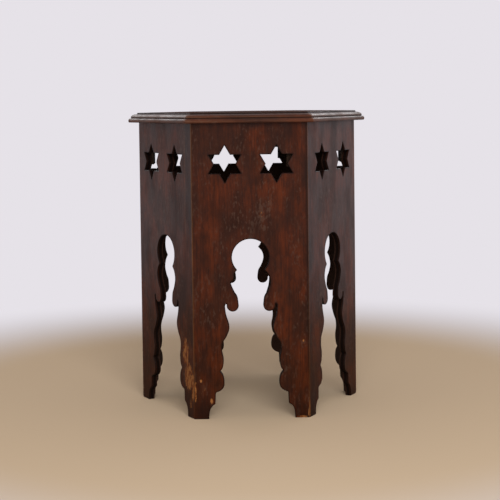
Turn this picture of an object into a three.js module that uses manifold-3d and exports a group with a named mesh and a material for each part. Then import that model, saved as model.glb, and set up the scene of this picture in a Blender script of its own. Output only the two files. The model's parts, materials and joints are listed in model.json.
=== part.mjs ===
// Hexagonal Moorish side table in dark stained hardwood: a moulded six-sided top on six mitred
// boards, each pierced by two six-pointed stars and cut from below by a scalloped keyhole arch.
// Millimetres, +Z up. The origin is on the floor under the middle of the table, and the front
// board faces -Y.

import * as THREE from 'three';
import { mergeVertices } from 'three/addons/utils/BufferGeometryUtils.js';
import Module from 'manifold-3d';

const wasm = await Module();
wasm.setup();

// Names of the six sides, anticlockwise from above, and of the boards of the top
const side_names = ['front', 'front_right', 'back_right', 'back', 'back_left', 'front_left'];
const board_names = ['front', 'middle', 'back'];

// Whole table
const total_height = 560;
const body_top_radius = 208.5; // centre to an outer corner of the six-sided body, under the top
const body_foot_radius = 212; // the same on the floor: the boards lean in a little as they rise
const glue_line = 0.3; // between boards that are glued together
const cut_overrun = 5; // how far a cutting solid runs past what it cuts

// Top
const top_thickness = 18.5;
const top_overhang = 17.7; // past the heads of the side boards

// Edge moulding of the top: insets from the outermost edge, depths from the top face
const field_inset = 15;
const field_step_depth = 2.8;
const ovolo_head_inset = 13.6;
const ovolo_foot_inset = 4.2;
const ovolo_foot_depth = 9;
const groove_inset = 5.2;
const groove_depth = 10;
const bead_head_depth = 10.8;
const bead_nose_depth = 15.4;
const bead_neck_inset = 3.4;
const bead_foot_inset = 1.6;

// Side boards
const panel_thickness = 12;

// Stars
const star_point_count = 6;
const star_radius = 33.5; // centre to a point
const star_drop = 73.5; // centre below the head of the board
const star_spacing = 93.2; // between the two centres
const star_drift = { // set out by hand
  front: 2.1, front_right: 3.5, back_right: -5.3, back: -1.6, back_left: 6.9, front_left: -6.5,
};

// Keyhole arch, from the middle of the board and from the floor
const arch_height = 332;
const foot_width = 26.5; // of each board, beside its arch on the floor
const arch_head_radius = 33.8;
const arch_cusp_angle = -42.5; // degrees, where the round head ends on its circle
const bulb_radius = 11;
const bulb_start_angle = 170; // degrees round the bulb's circle
const bulb_end_angle = 370;
const spare_lobe_side = 'front'; // its left half was sawn with one lobe too many

// Glue blocks in the inside corners
const block_leg = 29.5; // along each board
const block_height = 80;

// Cleats under the top
const cleat_height = 20;
const cleat_depth = 20;
const cleat_end_gap = 6; // between a cleat and the glue block beside it

// Screws
const screw_clearance = 0.3;
const screw_head_radius = 4;
const screw_head_depth = 2.4;
const screw_shank_radius = 2;
const screw_tip_length = 3;
const screw_facets = 8;
const top_screw_bite = 12; // how deep it goes into the top
const panel_screw_bite = 7.7; // how deep it goes into a side board
const panel_screw_inset = 13; // from the end of a cleat

// Places below the cusp, as shares: out from it, of arch_foot_half_width, and up from the start of
// the bulb, of the height between the two
const scallop_shares = [[0.092, 0.861], [0.134, 0.634], [0.072, 0.381], [-0.004, 0.212]];
const spare_lobe_shares = [[0.059, 0.908], [0.071, 0.787], [0.087, 0.708]];
const spare_scallop_shares = [[0.147, 0.645], [0.127, 0.539], [0.065, 0.36], [-0.004, 0.212]];

// Places on half an arch, as shares: out from its middle, of arch_foot_half_width, and up from the
// floor, of arch_height
const bulb_centre_shares = [0.421, 0.634];
const leg_lobe_shares = [
  [0.579, 0.645], [0.597, 0.63], [0.575, 0.581], [0.502, 0.515], [0.562, 0.467],
  [0.664, 0.425], [0.68, 0.384], [0.644, 0.334], [0.669, 0.289], [0.727, 0.268],
];
const leg_bulge_shares = [
  [0.727, 0.268], [0.66, 0.243], [0.633, 0.208], [0.648, 0.18], [0.72, 0.16], [0.83, 0.148],
];
const shank_head_shares = [0.839, 0.14];
const toe_shares = [[0.849, 0.084], [0.93, 0.069], [0.984, 0.042], [1, 0]];

// Steps along each stretch of the outlines
const head_steps = 9;
const scallop_steps = 10;
const spare_lobe_steps = 6;
const bulb_steps = 9;
const leg_lobe_steps = 24;
const leg_bulge_steps = 10;
const toe_steps = 6;
const moulding_steps = 4;

// Worked out from the values above
const turn = (2 * Math.PI) / side_names.length;
const half_turn = turn / 2;
const body_radius = Math.max(body_top_radius, body_foot_radius);
const arch_foot_half_width = body_foot_radius * Math.sin(half_turn) - foot_width;
const top_underside = total_height - top_thickness;
const panel_height = top_underside - glue_line;
const star_height = panel_height - star_drop;
const head_distance = body_top_radius * Math.cos(half_turn); // centre to a board's face, at its head
const foot_distance = body_foot_radius * Math.cos(half_turn);
const lean = Math.atan2(foot_distance - head_distance, panel_height);
const board_depth = panel_thickness / Math.cos(lean) + glue_line; // from its face to what lies inside it
const room_head_distance = head_distance - board_depth;
const room_foot_distance = foot_distance - board_depth;
const room_head_radius = room_head_distance / Math.cos(half_turn);
const room_block_distance = room_head_distance + block_height * Math.tan(lean); // at a glue block's foot
const room_block_radius = room_block_distance / Math.cos(half_turn);
const body_distance = body_radius * Math.cos(half_turn);
const top_edge_distance = head_distance + top_overhang;
const cleat_half_length = room_head_distance * Math.tan(half_turn) - block_leg - cleat_end_gap;
const panel_screw_reach = cleat_half_length - panel_screw_inset; // to each side of the middle
const cleat_inner_distance = room_head_distance - cleat_depth;
const cleat_base = panel_height - cleat_height;
const top_screw_length = cleat_height + glue_line + top_screw_bite;
const panel_screw_length = cleat_depth + glue_line + panel_screw_bite;

// Colours of the stained wood and of the steel
const stained_wood = { color: 0x4a2a1e, roughness: 0.38, metalness: 0 };
const raw_wood = { color: 0x3a2a20, roughness: 0.75, metalness: 0 };
const old_steel = { color: 0x55504a, roughness: 0.5, metalness: 0.9 };

// A closed solid for joining and cutting, from a geometry whose shared corners are merged
function toSolid(geometry) {
  const bare = geometry.clone();
  bare.deleteAttribute('normal');
  bare.deleteAttribute('uv');
  const merged = mergeVertices(bare);
  const triangles = [];
  const index = merged.index.array;
  for (let i = 0; i < index.length; i += 3) {
    const [a, b, c] = [index[i], index[i + 1], index[i + 2]];
    if (a !== b && b !== c && c !== a) triangles.push(a, b, c);
  }
  return new wasm.Manifold(new wasm.Mesh({
    numProp: 3,
    vertProperties: new Float32Array(merged.attributes.position.array),
    triVerts: new Uint32Array(triangles),
  }));
}

function toGeometry(solid) {
  const mesh = solid.getMesh();
  const geometry = new THREE.BufferGeometry();
  geometry.setAttribute('position', new THREE.BufferAttribute(mesh.vertProperties, 3));
  geometry.setIndex(new THREE.BufferAttribute(mesh.triVerts, 1));
  geometry.computeVertexNormals();
  return geometry;
}

function makeMesh(name, geometry, finish) {
  const mesh = new THREE.Mesh(geometry, new THREE.MeshStandardMaterial(finish));
  mesh.name = name;
  return mesh;
}

function boxBetween(low, high) {
  const size = new THREE.Vector3().subVectors(high, low);
  const centre = new THREE.Vector3().addVectors(low, high).multiplyScalar(0.5);
  return new THREE.BoxGeometry(size.x, size.y, size.z).translate(centre.x, centre.y, centre.z);
}

// A solid with an outline in plan, standing between two heights
function standingSolid(outline, base, height) {
  const shape = new THREE.Shape(outline);
  const geometry = new THREE.ExtrudeGeometry(shape, { depth: height, bevelEnabled: false });
  return geometry.translate(0, 0, base);
}

// Edge moulding, as inset and depth, from the flat field down to the underside
function mouldingProfile() {
  const points = [[field_inset, 0], [field_inset, field_step_depth]];
  const ovolo_width = ovolo_head_inset - ovolo_foot_inset;
  const ovolo_drop = ovolo_foot_depth - field_step_depth;
  const bead_drop = bead_nose_depth - bead_head_depth;
  const foot_drop = top_thickness - bead_nose_depth;
  for (let i = 0; i <= moulding_steps; i += 1) {
    const angle = (i / moulding_steps) * (Math.PI / 2);
    points.push([
      ovolo_head_inset - ovolo_width * Math.sin(angle),
      field_step_depth + ovolo_drop * (1 - Math.cos(angle)),
    ]);
  }
  points.push([groove_inset, groove_depth]);
  for (let i = 0; i <= moulding_steps; i += 1) {
    const angle = (i / moulding_steps) * (Math.PI / 2);
    points.push([bead_neck_inset * (1 - Math.sin(angle)), bead_nose_depth - bead_drop * Math.cos(angle)]);
  }
  for (let i = 1; i <= moulding_steps; i += 1) {
    const angle = (i / moulding_steps) * (Math.PI / 2);
    points.push([bead_foot_inset * (1 - Math.cos(angle)), bead_nose_depth + foot_drop * Math.sin(angle)]);
  }
  return points;
}

// A closed profile of corner radius and height, turned in as many steps as the table has sides
function sixSidedSolid(profile) {
  const lathe = new THREE.LatheGeometry(profile, side_names.length, half_turn);
  return toSolid(lathe.rotateX(Math.PI / 2));
}

// The whole top in one, with its moulded edge
function topSolid() {
  const profile = mouldingProfile().map(([inset, depth]) => (
    new THREE.Vector2((top_edge_distance - inset) / Math.cos(half_turn), total_height - depth)));
  profile.unshift(new THREE.Vector2(0, total_height));
  profile.push(new THREE.Vector2(0, top_underside));
  return sixSidedSolid(profile.reverse());
}

// The space that the six side boards enclose, a glue line clear of each
function roomSolid() {
  return sixSidedSolid([
    new THREE.Vector2(0, 0),
    new THREE.Vector2(room_foot_distance / Math.cos(half_turn), 0),
    new THREE.Vector2(room_head_radius, panel_height),
    new THREE.Vector2(0, panel_height),
  ]);
}

// Corner points of a six-pointed star with one point up
function starOutline(centre_x, centre_z) {
  const notch_radius = star_radius / Math.sqrt(3);
  const points = [];
  for (let i = 0; i < 2 * star_point_count; i += 1) {
    const angle = Math.PI / 2 + (i * Math.PI) / star_point_count;
    const radius = i % 2 === 0 ? star_radius : notch_radius;
    points.push(new THREE.Vector2(centre_x + radius * Math.cos(angle), centre_z + radius * Math.sin(angle)));
  }
  return points;
}

function onArch([out_share, up_share]) {
  return new THREE.Vector2(out_share * arch_foot_half_width, up_share * arch_height);
}

function arcPoints(centre, radius, start, end, steps) {
  const points = [];
  for (let i = 0; i <= steps; i += 1) {
    const angle = start + ((end - start) * i) / steps;
    points.push(new THREE.Vector2(centre.x + radius * Math.cos(angle), centre.y + radius * Math.sin(angle)));
  }
  return points;
}

function splinePoints(points, steps) {
  return new THREE.SplineCurve(points).getPoints(steps);
}

// From the cusp down to the bulb: one smooth scallop, or a spare small lobe and a shorter scallop
function scallopPoints(cusp, bulb_start, has_spare_lobe) {
  const drop = cusp.y - bulb_start.y;
  const belowCusp = ([out_share, up_share]) => (
    new THREE.Vector2(cusp.x + out_share * arch_foot_half_width, bulb_start.y + up_share * drop));
  if (!has_spare_lobe) {
    return splinePoints([cusp, ...scallop_shares.map(belowCusp), bulb_start], scallop_steps);
  }
  return [
    ...splinePoints([cusp, ...spare_lobe_shares.map(belowCusp)], spare_lobe_steps),
    ...splinePoints([...spare_scallop_shares.map(belowCusp), bulb_start], scallop_steps),
  ];
}

// One half of the arch, from its crown down to the floor
function archHalf(has_spare_lobe) {
  const head_centre = new THREE.Vector2(0, arch_height - arch_head_radius);
  const head_end = THREE.MathUtils.degToRad(arch_cusp_angle);
  const head = arcPoints(head_centre, arch_head_radius, Math.PI / 2, head_end, head_steps);
  const bulb_start = THREE.MathUtils.degToRad(bulb_start_angle);
  const bulb_end = THREE.MathUtils.degToRad(bulb_end_angle);
  const bulb = arcPoints(onArch(bulb_centre_shares), bulb_radius, bulb_start, bulb_end, bulb_steps);
  return [
    ...head,
    ...scallopPoints(head[head.length - 1], bulb[0], has_spare_lobe).slice(1),
    ...bulb.slice(1),
    ...splinePoints(leg_lobe_shares.map(onArch), leg_lobe_steps),
    ...splinePoints(leg_bulge_shares.map(onArch), leg_bulge_steps).slice(1),
    onArch(shank_head_shares),
    ...splinePoints(toe_shares.map(onArch), toe_steps),
  ];
}

// Outline of a side board seen from outside, before its ends, mitres and stars are cut
function panelShape(side) {
  const half_width = body_radius * Math.sin(half_turn) + cut_overrun;
  const right = archHalf(false).reverse();
  const left = archHalf(side === spare_lobe_side).map((point) => new THREE.Vector2(-point.x, point.y));
  return new THREE.Shape([
    new THREE.Vector2(-half_width, -cut_overrun),
    new THREE.Vector2(-half_width, panel_height + cut_overrun),
    new THREE.Vector2(half_width, panel_height + cut_overrun),
    new THREE.Vector2(half_width, -cut_overrun),
    new THREE.Vector2(arch_foot_half_width, -cut_overrun),
    ...right,
    ...left.slice(1),
    new THREE.Vector2(-arch_foot_half_width, -cut_overrun),
  ]);
}

// An outline seen from outside, through the thickness of the leaning front board
function throughBoard(shape, overrun) {
  const depth = panel_thickness + 2 * overrun;
  const geometry = new THREE.ExtrudeGeometry(shape, { depth, bevelEnabled: false });
  geometry.rotateX(Math.PI / 2).translate(0, panel_thickness + overrun, 0);
  return geometry.rotateX(-lean).translate(0, -foot_distance, 0);
}

function starCuts(side) {
  return [-1, 1].map((hand) => {
    const outline = starOutline(star_drift[side] + (hand * star_spacing) / 2, star_height);
    return throughBoard(new THREE.Shape(outline), cut_overrun);
  });
}

// The wedge between two upright planes through the middle and neighbouring corners, half a glue
// line inside each, from the floor to the heads of the boards
function mitreWedge() {
  const apex = glue_line / (2 * Math.sin(half_turn));
  const reach = body_distance + cut_overrun;
  const spread = (reach - apex) * Math.tan(half_turn);
  const outline = [
    new THREE.Vector2(0, -apex),
    new THREE.Vector2(-spread, -reach),
    new THREE.Vector2(spread, -reach),
  ];
  return toSolid(standingSolid(outline, 0, panel_height));
}

// A countersunk screw along +Z with its head at the origin, or its hole, wider by a clearance
function screwGeometry(length, clearance) {
  const flare = (screw_head_radius - screw_shank_radius) / screw_head_depth;
  const profile = [
    [0, -clearance],
    [screw_head_radius + clearance * (1 + flare), -clearance],
    [screw_shank_radius + clearance, screw_head_depth],
    [screw_shank_radius + clearance, length - screw_tip_length],
    [0, length + clearance],
  ].map(([radius, height]) => new THREE.Vector2(radius, height));
  return new THREE.LatheGeometry(profile, screw_facets).rotateX(Math.PI / 2);
}

// The screw up through a cleat into the top, in the frame of the front side
function topScrew(clearance) {
  const middle = -(cleat_inner_distance + cleat_depth / 2);
  return screwGeometry(top_screw_length, clearance).translate(0, middle, cleat_base);
}

// The two screws out through a cleat into the side board, in the frame of the front side
function panelScrews(clearance) {
  const height = cleat_base + cleat_height / 2;
  return [-1, 1].map((hand) => (
    screwGeometry(panel_screw_length, clearance)
      .rotateX(Math.PI / 2)
      .translate(hand * panel_screw_reach, -cleat_inner_distance, height)));
}

function cutAll(solid, geometries) {
  return geometries.reduce((left, geometry) => left.subtract(toSolid(geometry)), solid);
}

function panelGeometry(side) {
  const mitred = toSolid(throughBoard(panelShape(side), 0)).intersect(mitreWedge());
  return toGeometry(cutAll(mitred, [...starCuts(side), ...panelScrews(screw_clearance)]));
}

// A cleat planed to lie against the leaning board
function cleatGeometry() {
  const low = new THREE.Vector3(-cleat_half_length, -body_distance, cleat_base);
  const high = new THREE.Vector3(cleat_half_length, -cleat_inner_distance, panel_height + cut_overrun);
  const bar = toSolid(boxBetween(low, high)).intersect(roomSolid());
  return toGeometry(cutAll(bar, [topScrew(screw_clearance), ...panelScrews(screw_clearance)]));
}

// The triangular block in the corner to the right of the front board
function blockGeometry() {
  const near = Math.min(room_head_radius, room_block_radius) - block_leg * Math.sin(half_turn);
  const low = new THREE.Vector3(near, -block_leg, panel_height - block_height);
  const high = new THREE.Vector3(body_radius, block_leg, panel_height + cut_overrun);
  const corner = boxBetween(low, high).rotateZ(half_turn - Math.PI / 2);
  return toGeometry(toSolid(corner).intersect(roomSolid()));
}

// Everything that one side of the table carries, in the frame of the front side
function sideGroup(side, place) {
  const group = new THREE.Group();
  group.add(makeMesh(`panel_${side}`, panelGeometry(side), stained_wood));
  group.add(makeMesh(`cleat_${side}`, cleatGeometry(), raw_wood));
  group.add(makeMesh(`corner_block_${place + 1}`, blockGeometry(), raw_wood));
  group.add(makeMesh(`top_screw_${side}`, topScrew(0), old_steel));
  panelScrews(0).forEach((screw, i) => {
    group.add(makeMesh(`panel_screw_${side}_${i + 1}`, screw, old_steel));
  });
  group.rotation.z = place * turn;
  return group;
}

// The three boards of the top, sawn from the whole with a glue line between them
function topBoards() {
  const pilot_holes = side_names.map((side, place) => topScrew(screw_clearance).rotateZ(place * turn));
  const whole = cutAll(topSolid(), pilot_holes);
  const board_width = (2 * top_edge_distance) / board_names.length;
  const reach = top_edge_distance / Math.cos(half_turn) + cut_overrun;
  return board_names.map((name, i) => {
    const front = -top_edge_distance + i * board_width + (i > 0 ? glue_line / 2 : -cut_overrun);
    const is_last = i === board_names.length - 1;
    const back = -top_edge_distance + (i + 1) * board_width + (is_last ? cut_overrun : -glue_line / 2);
    const slab = boxBetween(
      new THREE.Vector3(-reach, front, top_underside - cut_overrun),
      new THREE.Vector3(reach, back, total_height + cut_overrun),
    );
    return makeMesh(`top_board_${name}`, toGeometry(whole.intersect(toSolid(slab))), stained_wood);
  });
}

const table = new THREE.Group();
table.add(...topBoards());
table.add(...side_names.map(sideGroup));

export default table;
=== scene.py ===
"""A hexagonal Moorish side table in dark stained hardwood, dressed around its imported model.

Six mitred side boards, each pierced by two six-pointed stars and cut by a scalloped keyhole arch,
stand under a moulded top of three boards, with glue blocks, cleats and screws inside. Lengths are
in millimetres up to the point where a mesh is made, and metres from there on.
"""

import json
import logging
import math
from dataclasses import dataclass, field, replace
from enum import Enum
from typing import Any

import bmesh
import bpy
import numpy as np
from mathutils import Matrix, Vector, geometry, noise

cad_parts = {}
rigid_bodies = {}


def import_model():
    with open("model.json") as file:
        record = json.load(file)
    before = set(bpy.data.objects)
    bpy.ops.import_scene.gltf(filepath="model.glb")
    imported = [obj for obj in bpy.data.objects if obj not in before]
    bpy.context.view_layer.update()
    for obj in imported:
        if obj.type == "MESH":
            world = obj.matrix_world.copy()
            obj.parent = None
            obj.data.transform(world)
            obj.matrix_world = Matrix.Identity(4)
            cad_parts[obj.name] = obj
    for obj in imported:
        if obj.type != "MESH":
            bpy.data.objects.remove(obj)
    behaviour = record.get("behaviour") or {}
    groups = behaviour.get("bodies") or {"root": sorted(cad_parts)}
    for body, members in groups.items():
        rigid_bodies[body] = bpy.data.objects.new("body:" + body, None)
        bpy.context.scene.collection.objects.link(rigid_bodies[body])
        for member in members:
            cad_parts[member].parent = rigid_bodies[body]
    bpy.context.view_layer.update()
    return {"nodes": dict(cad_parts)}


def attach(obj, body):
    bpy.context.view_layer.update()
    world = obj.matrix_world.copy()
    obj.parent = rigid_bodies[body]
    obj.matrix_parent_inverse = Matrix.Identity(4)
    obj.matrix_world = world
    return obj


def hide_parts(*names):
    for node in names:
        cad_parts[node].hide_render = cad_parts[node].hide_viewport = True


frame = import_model()

LOG = logging.getLogger("side_table")
MM = 0.001
BODY = "root"
SIDE_COUNT = 6
TURN = 2 * math.pi / SIDE_COUNT
HALF_TURN = TURN / 2
# Two places closer together than this, in millimetres, count as one.
TOUCH = 0.01

Points = np.ndarray
Tree = bpy.types.NodeTree
Socket = bpy.types.NodeSocket
Mesh = bpy.types.Mesh
Material = bpy.types.Material


class Side(Enum):
    """The six sides, anticlockwise from above: label, place, and how far the stars sit off centre."""

    FRONT = ("front", 0, 2.1)
    FRONT_RIGHT = ("front_right", 1, 3.5)
    BACK_RIGHT = ("back_right", 2, -5.3)
    BACK = ("back", 3, -1.6)
    BACK_LEFT = ("back_left", 4, 6.9)
    FRONT_LEFT = ("front_left", 5, -6.5)

    def __init__(self, label: str, place: int, star_drift: float) -> None:
        """Keeps the three values under their names.

        Args:
            label: the side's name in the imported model.
            place: how many sixths of a turn it stands from the front.
            star_drift: millimetres that both stars sit to the right of the middle.
        """
        self.label = label
        self.place = place
        self.star_drift = star_drift

    def stand(self) -> Matrix:
        """Returns the turn that takes the front side to this one."""
        return Matrix.Rotation(self.place * TURN, 4, "Z")


def linear(code: str) -> tuple[float, float, float, float]:
    """Turns an sRGB hex colour to a linear one.

    Args:
        code: six hex digits after a hash.

    Returns:
        Red, green, blue and alpha for a colour socket.
    """
    parts = [int(code[i:i + 2], 16) / 255 for i in (1, 3, 5)]
    bent = [p / 12.92 if p <= 0.04045 else ((p + 0.055) / 1.055) ** 2.4 for p in parts]
    return (bent[0], bent[1], bent[2], 1.0)


def add(tree: Tree, kind: str, inputs: dict | None = None, **settings: Any) -> bpy.types.Node:
    """Adds a node with its settings and links.

    Args:
        tree: the shader or geometry tree.
        kind: the node's type name.
        inputs: for each socket's name or number, a value or the output that feeds it.
        settings: the node's own properties.

    Returns:
        The new node.
    """
    made = tree.nodes.new(kind)
    for name, value in settings.items():
        setattr(made, name, value)
    for key, value in (inputs or {}).items():
        if isinstance(value, Socket):
            tree.links.new(value, made.inputs[key])
        else:
            made.inputs[key].default_value = value
    return made


def geometry_tree(name: str, sockets: dict[str, str]) -> tuple[Tree, bpy.types.Node]:
    """Starts a Geometry Nodes tree with named inputs.

    Args:
        name: the tree's name.
        sockets: for each input's name, the kind of value that it takes.

    Returns:
        The tree and its input node.
    """
    tree = bpy.data.node_groups.new(name, "GeometryNodeTree")
    tree.interface.new_socket("Geometry", in_out="OUTPUT", socket_type="NodeSocketGeometry")
    tree.interface.new_socket("Geometry", in_out="INPUT", socket_type="NodeSocketGeometry")
    for label, kind in sockets.items():
        tree.interface.new_socket(label, in_out="INPUT", socket_type=f"NodeSocket{kind}")
    return tree, add(tree, "NodeGroupInput")


def end_tree(tree: Tree, shape: Socket, finish: Socket) -> None:
    """Ends a tree in Realize Instances and Set Material.

    Args:
        tree: the tree to end.
        shape: the output that carries the shape.
        finish: the output that carries its material.
    """
    real = add(tree, "GeometryNodeRealizeInstances", {"Geometry": shape})
    dressed = add(tree, "GeometryNodeSetMaterial", {"Geometry": real.outputs[0], "Material": finish})
    add(tree, "NodeGroupOutput", {"Geometry": dressed.outputs[0]})


def grow(tree: Tree, values: dict[str, Any], start: Mesh | None = None) -> Mesh:
    """Runs a Geometry Nodes tree and returns what it makes as a plain mesh.

    Args:
        tree: the tree to run.
        values: for each input's name, its value.
        start: the mesh that the tree works on, if it needs one.

    Returns:
        A mesh of its own, without instances or empty material slots.
    """
    holder = bpy.data.objects.new("holder", start or bpy.data.meshes.new("holder"))
    bpy.context.scene.collection.objects.link(holder)
    modifier = holder.modifiers.new("grow", "NODES")
    modifier.node_group = tree
    for socket in tree.interface.items_tree:
        if socket.item_type == "SOCKET" and socket.in_out == "INPUT" and socket.name in values:
            modifier[socket.identifier] = values[socket.name]
    graph = bpy.context.evaluated_depsgraph_get()
    mesh = bpy.data.meshes.new_from_object(holder.evaluated_get(graph), depsgraph=graph)
    bpy.data.objects.remove(holder)
    for slot in reversed(range(len(mesh.materials))):
        if mesh.materials[slot] is None:
            mesh.materials.pop(index=slot)
    return mesh


def new_material(name: str) -> tuple[Material, Tree]:
    """Starts a material with an empty tree.

    Args:
        name: what the surface is made of and how it was made.

    Returns:
        The material and its tree.
    """
    material = bpy.data.materials.new(name)
    material.use_nodes = True
    material.node_tree.nodes.clear()
    return material, material.node_tree


def coat(tree: Tree, ground: Any, layers: list[tuple]) -> Socket:
    """Lays colours over a ground, one after another.

    Args:
        tree: the material's tree.
        ground: the colour below them all.
        layers: for each, its colour and then the shares from 0 to 1 whose product says how much of
            it goes on.

    Returns:
        The colour that is seen.
    """
    colour = ground
    for over, amount, *shares in layers:
        for share in shares:
            amount = add(tree, "ShaderNodeMath", {0: amount, 1: share}, operation="MULTIPLY").outputs[0]
        mixed = add(tree, "ShaderNodeMix", {0: amount, 6: colour, 7: over}, data_type="RGBA")
        colour = mixed.outputs[2]
    return colour


def put(mesh: Mesh, name: str, replaced: list[str]) -> bpy.types.Object:
    """Makes a finished mesh a piece of the table.

    Args:
        mesh: the mesh, already in place.
        name: the piece's name.
        replaced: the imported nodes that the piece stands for.

    Returns:
        The new object.
    """
    piece = bpy.data.objects.new(name, mesh)
    bpy.context.scene.collection.objects.link(piece)
    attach(piece, BODY)
    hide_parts(*replaced)
    LOG.info("%s: %d faces", name, len(mesh.polygons))
    return piece


def set_attribute(mesh: Mesh, name: str, values: Points) -> None:
    """Stores one number or one vector for each vertex.

    Args:
        mesh: the mesh to mark.
        name: the attribute's name.
        values: one row for each vertex.
    """
    is_vector = values.ndim == 2
    layer = mesh.attributes.new(name, "FLOAT_VECTOR" if is_vector else "FLOAT", "POINT")
    layer.data.foreach_set("vector" if is_vector else "value", values.astype(np.float32).ravel())


def smooth(mesh: Mesh, angle: float) -> None:
    """Shades a mesh smooth, but for edges sharper than an angle.

    Args:
        mesh: the mesh to shade.
        angle: degrees between two faces.
    """
    mesh.shade_smooth()
    mesh.set_sharp_from_angle(angle=math.radians(angle))


def waves(points: Points, size: float, seed: float) -> Points:
    """Smooth noise between about -1 and 1 at each point.

    Args:
        points: places in millimetres, one a row.
        size: millimetres from one swell to the next.
        seed: shifts the pattern.

    Returns:
        One number for each point.
    """
    shift = Vector((seed, 2 * seed, -seed))
    return np.array([noise.noise(Vector(p) / size + shift) for p in points])


def vertices_of(node: str) -> Points:
    """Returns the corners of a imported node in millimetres, one a row."""
    return np.array([v.co for v in frame["nodes"][node].data.vertices]) / MM


@dataclass(frozen=True)
class Body:
    """The six-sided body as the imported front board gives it."""

    head: float
    foot_distance: float
    head_distance: float
    foot_half_width: float
    head_half_width: float
    thickness: float = 12.0

    @classmethod
    def from_frame(cls) -> "Body":
        """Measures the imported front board.

        Returns:
            The body with the board's own measures.
        """
        corners = vertices_of("panel_front")
        head = corners[:, 2].max()
        foot = corners[corners[:, 2] < TOUCH]
        top = corners[corners[:, 2] > head - TOUCH]
        return cls(head, -foot[:, 1].min(), -top[:, 1].min(), foot[:, 0].max(), top[:, 0].max())

    def distance(self, height: Points) -> Points:
        """Returns how far a board's face stands from the middle at a height."""
        return self.foot_distance + (self.head_distance - self.foot_distance) * height / self.head

    def half_width(self, height: Points) -> Points:
        """Returns half a board's width at a height."""
        return self.foot_half_width + (self.head_half_width - self.foot_half_width) * height / self.head


def arc(centre: Points, radius: float, start: float, end: float, step: float) -> Points:
    """Points along an arc of a circle.

    Args:
        centre: the circle's middle.
        radius: its radius.
        start: the angle in degrees where the arc starts.
        end: the angle where it ends.
        step: the distance between two points.

    Returns:
        The points, one a row.
    """
    span = math.radians(end - start)
    count = max(2, round(abs(span) * radius / step))
    angles = math.radians(start) + span * np.arange(count + 1) / count
    return np.asarray(centre) + radius * np.column_stack([np.cos(angles), np.sin(angles)])


def spline(knots: Points, step: float) -> Points:
    """Points along a smooth curve through knots.

    Args:
        knots: the points that the curve passes, one a row.
        step: the distance between two points.

    Returns:
        The points, one a row, the first and the last knot among them.
    """
    knots = np.asarray(knots)
    padded = np.vstack([knots[:1], knots, knots[-1:]])
    rows = []
    for before, here, after, beyond in zip(padded, padded[1:], padded[2:], padded[3:]):
        count = max(2, round(float(np.linalg.norm(after - here)) / step))
        t = (np.arange(count) / count)[:, None]
        into, out = (after - before) / 2, (beyond - here) / 2
        cube, square = 2 * here - 2 * after + into + out, 3 * after - 3 * here - 2 * into - out
        rows.append(cube * t ** 3 + square * t ** 2 + into * t + here)
    return np.vstack([*rows, knots[-1:]])


def straight(start: Points, end: Points, step: float) -> Points:
    """Evenly spaced points along a straight line.

    Args:
        start: where the line starts.
        end: where it ends.
        step: the distance between two points.

    Returns:
        The points, one a row, the start among them but not the end.
    """
    start, end = np.asarray(start, float), np.asarray(end, float)
    count = max(1, round(float(np.linalg.norm(end - start)) / step))
    return start + (end - start) * (np.arange(count) / count)[:, None]


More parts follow.
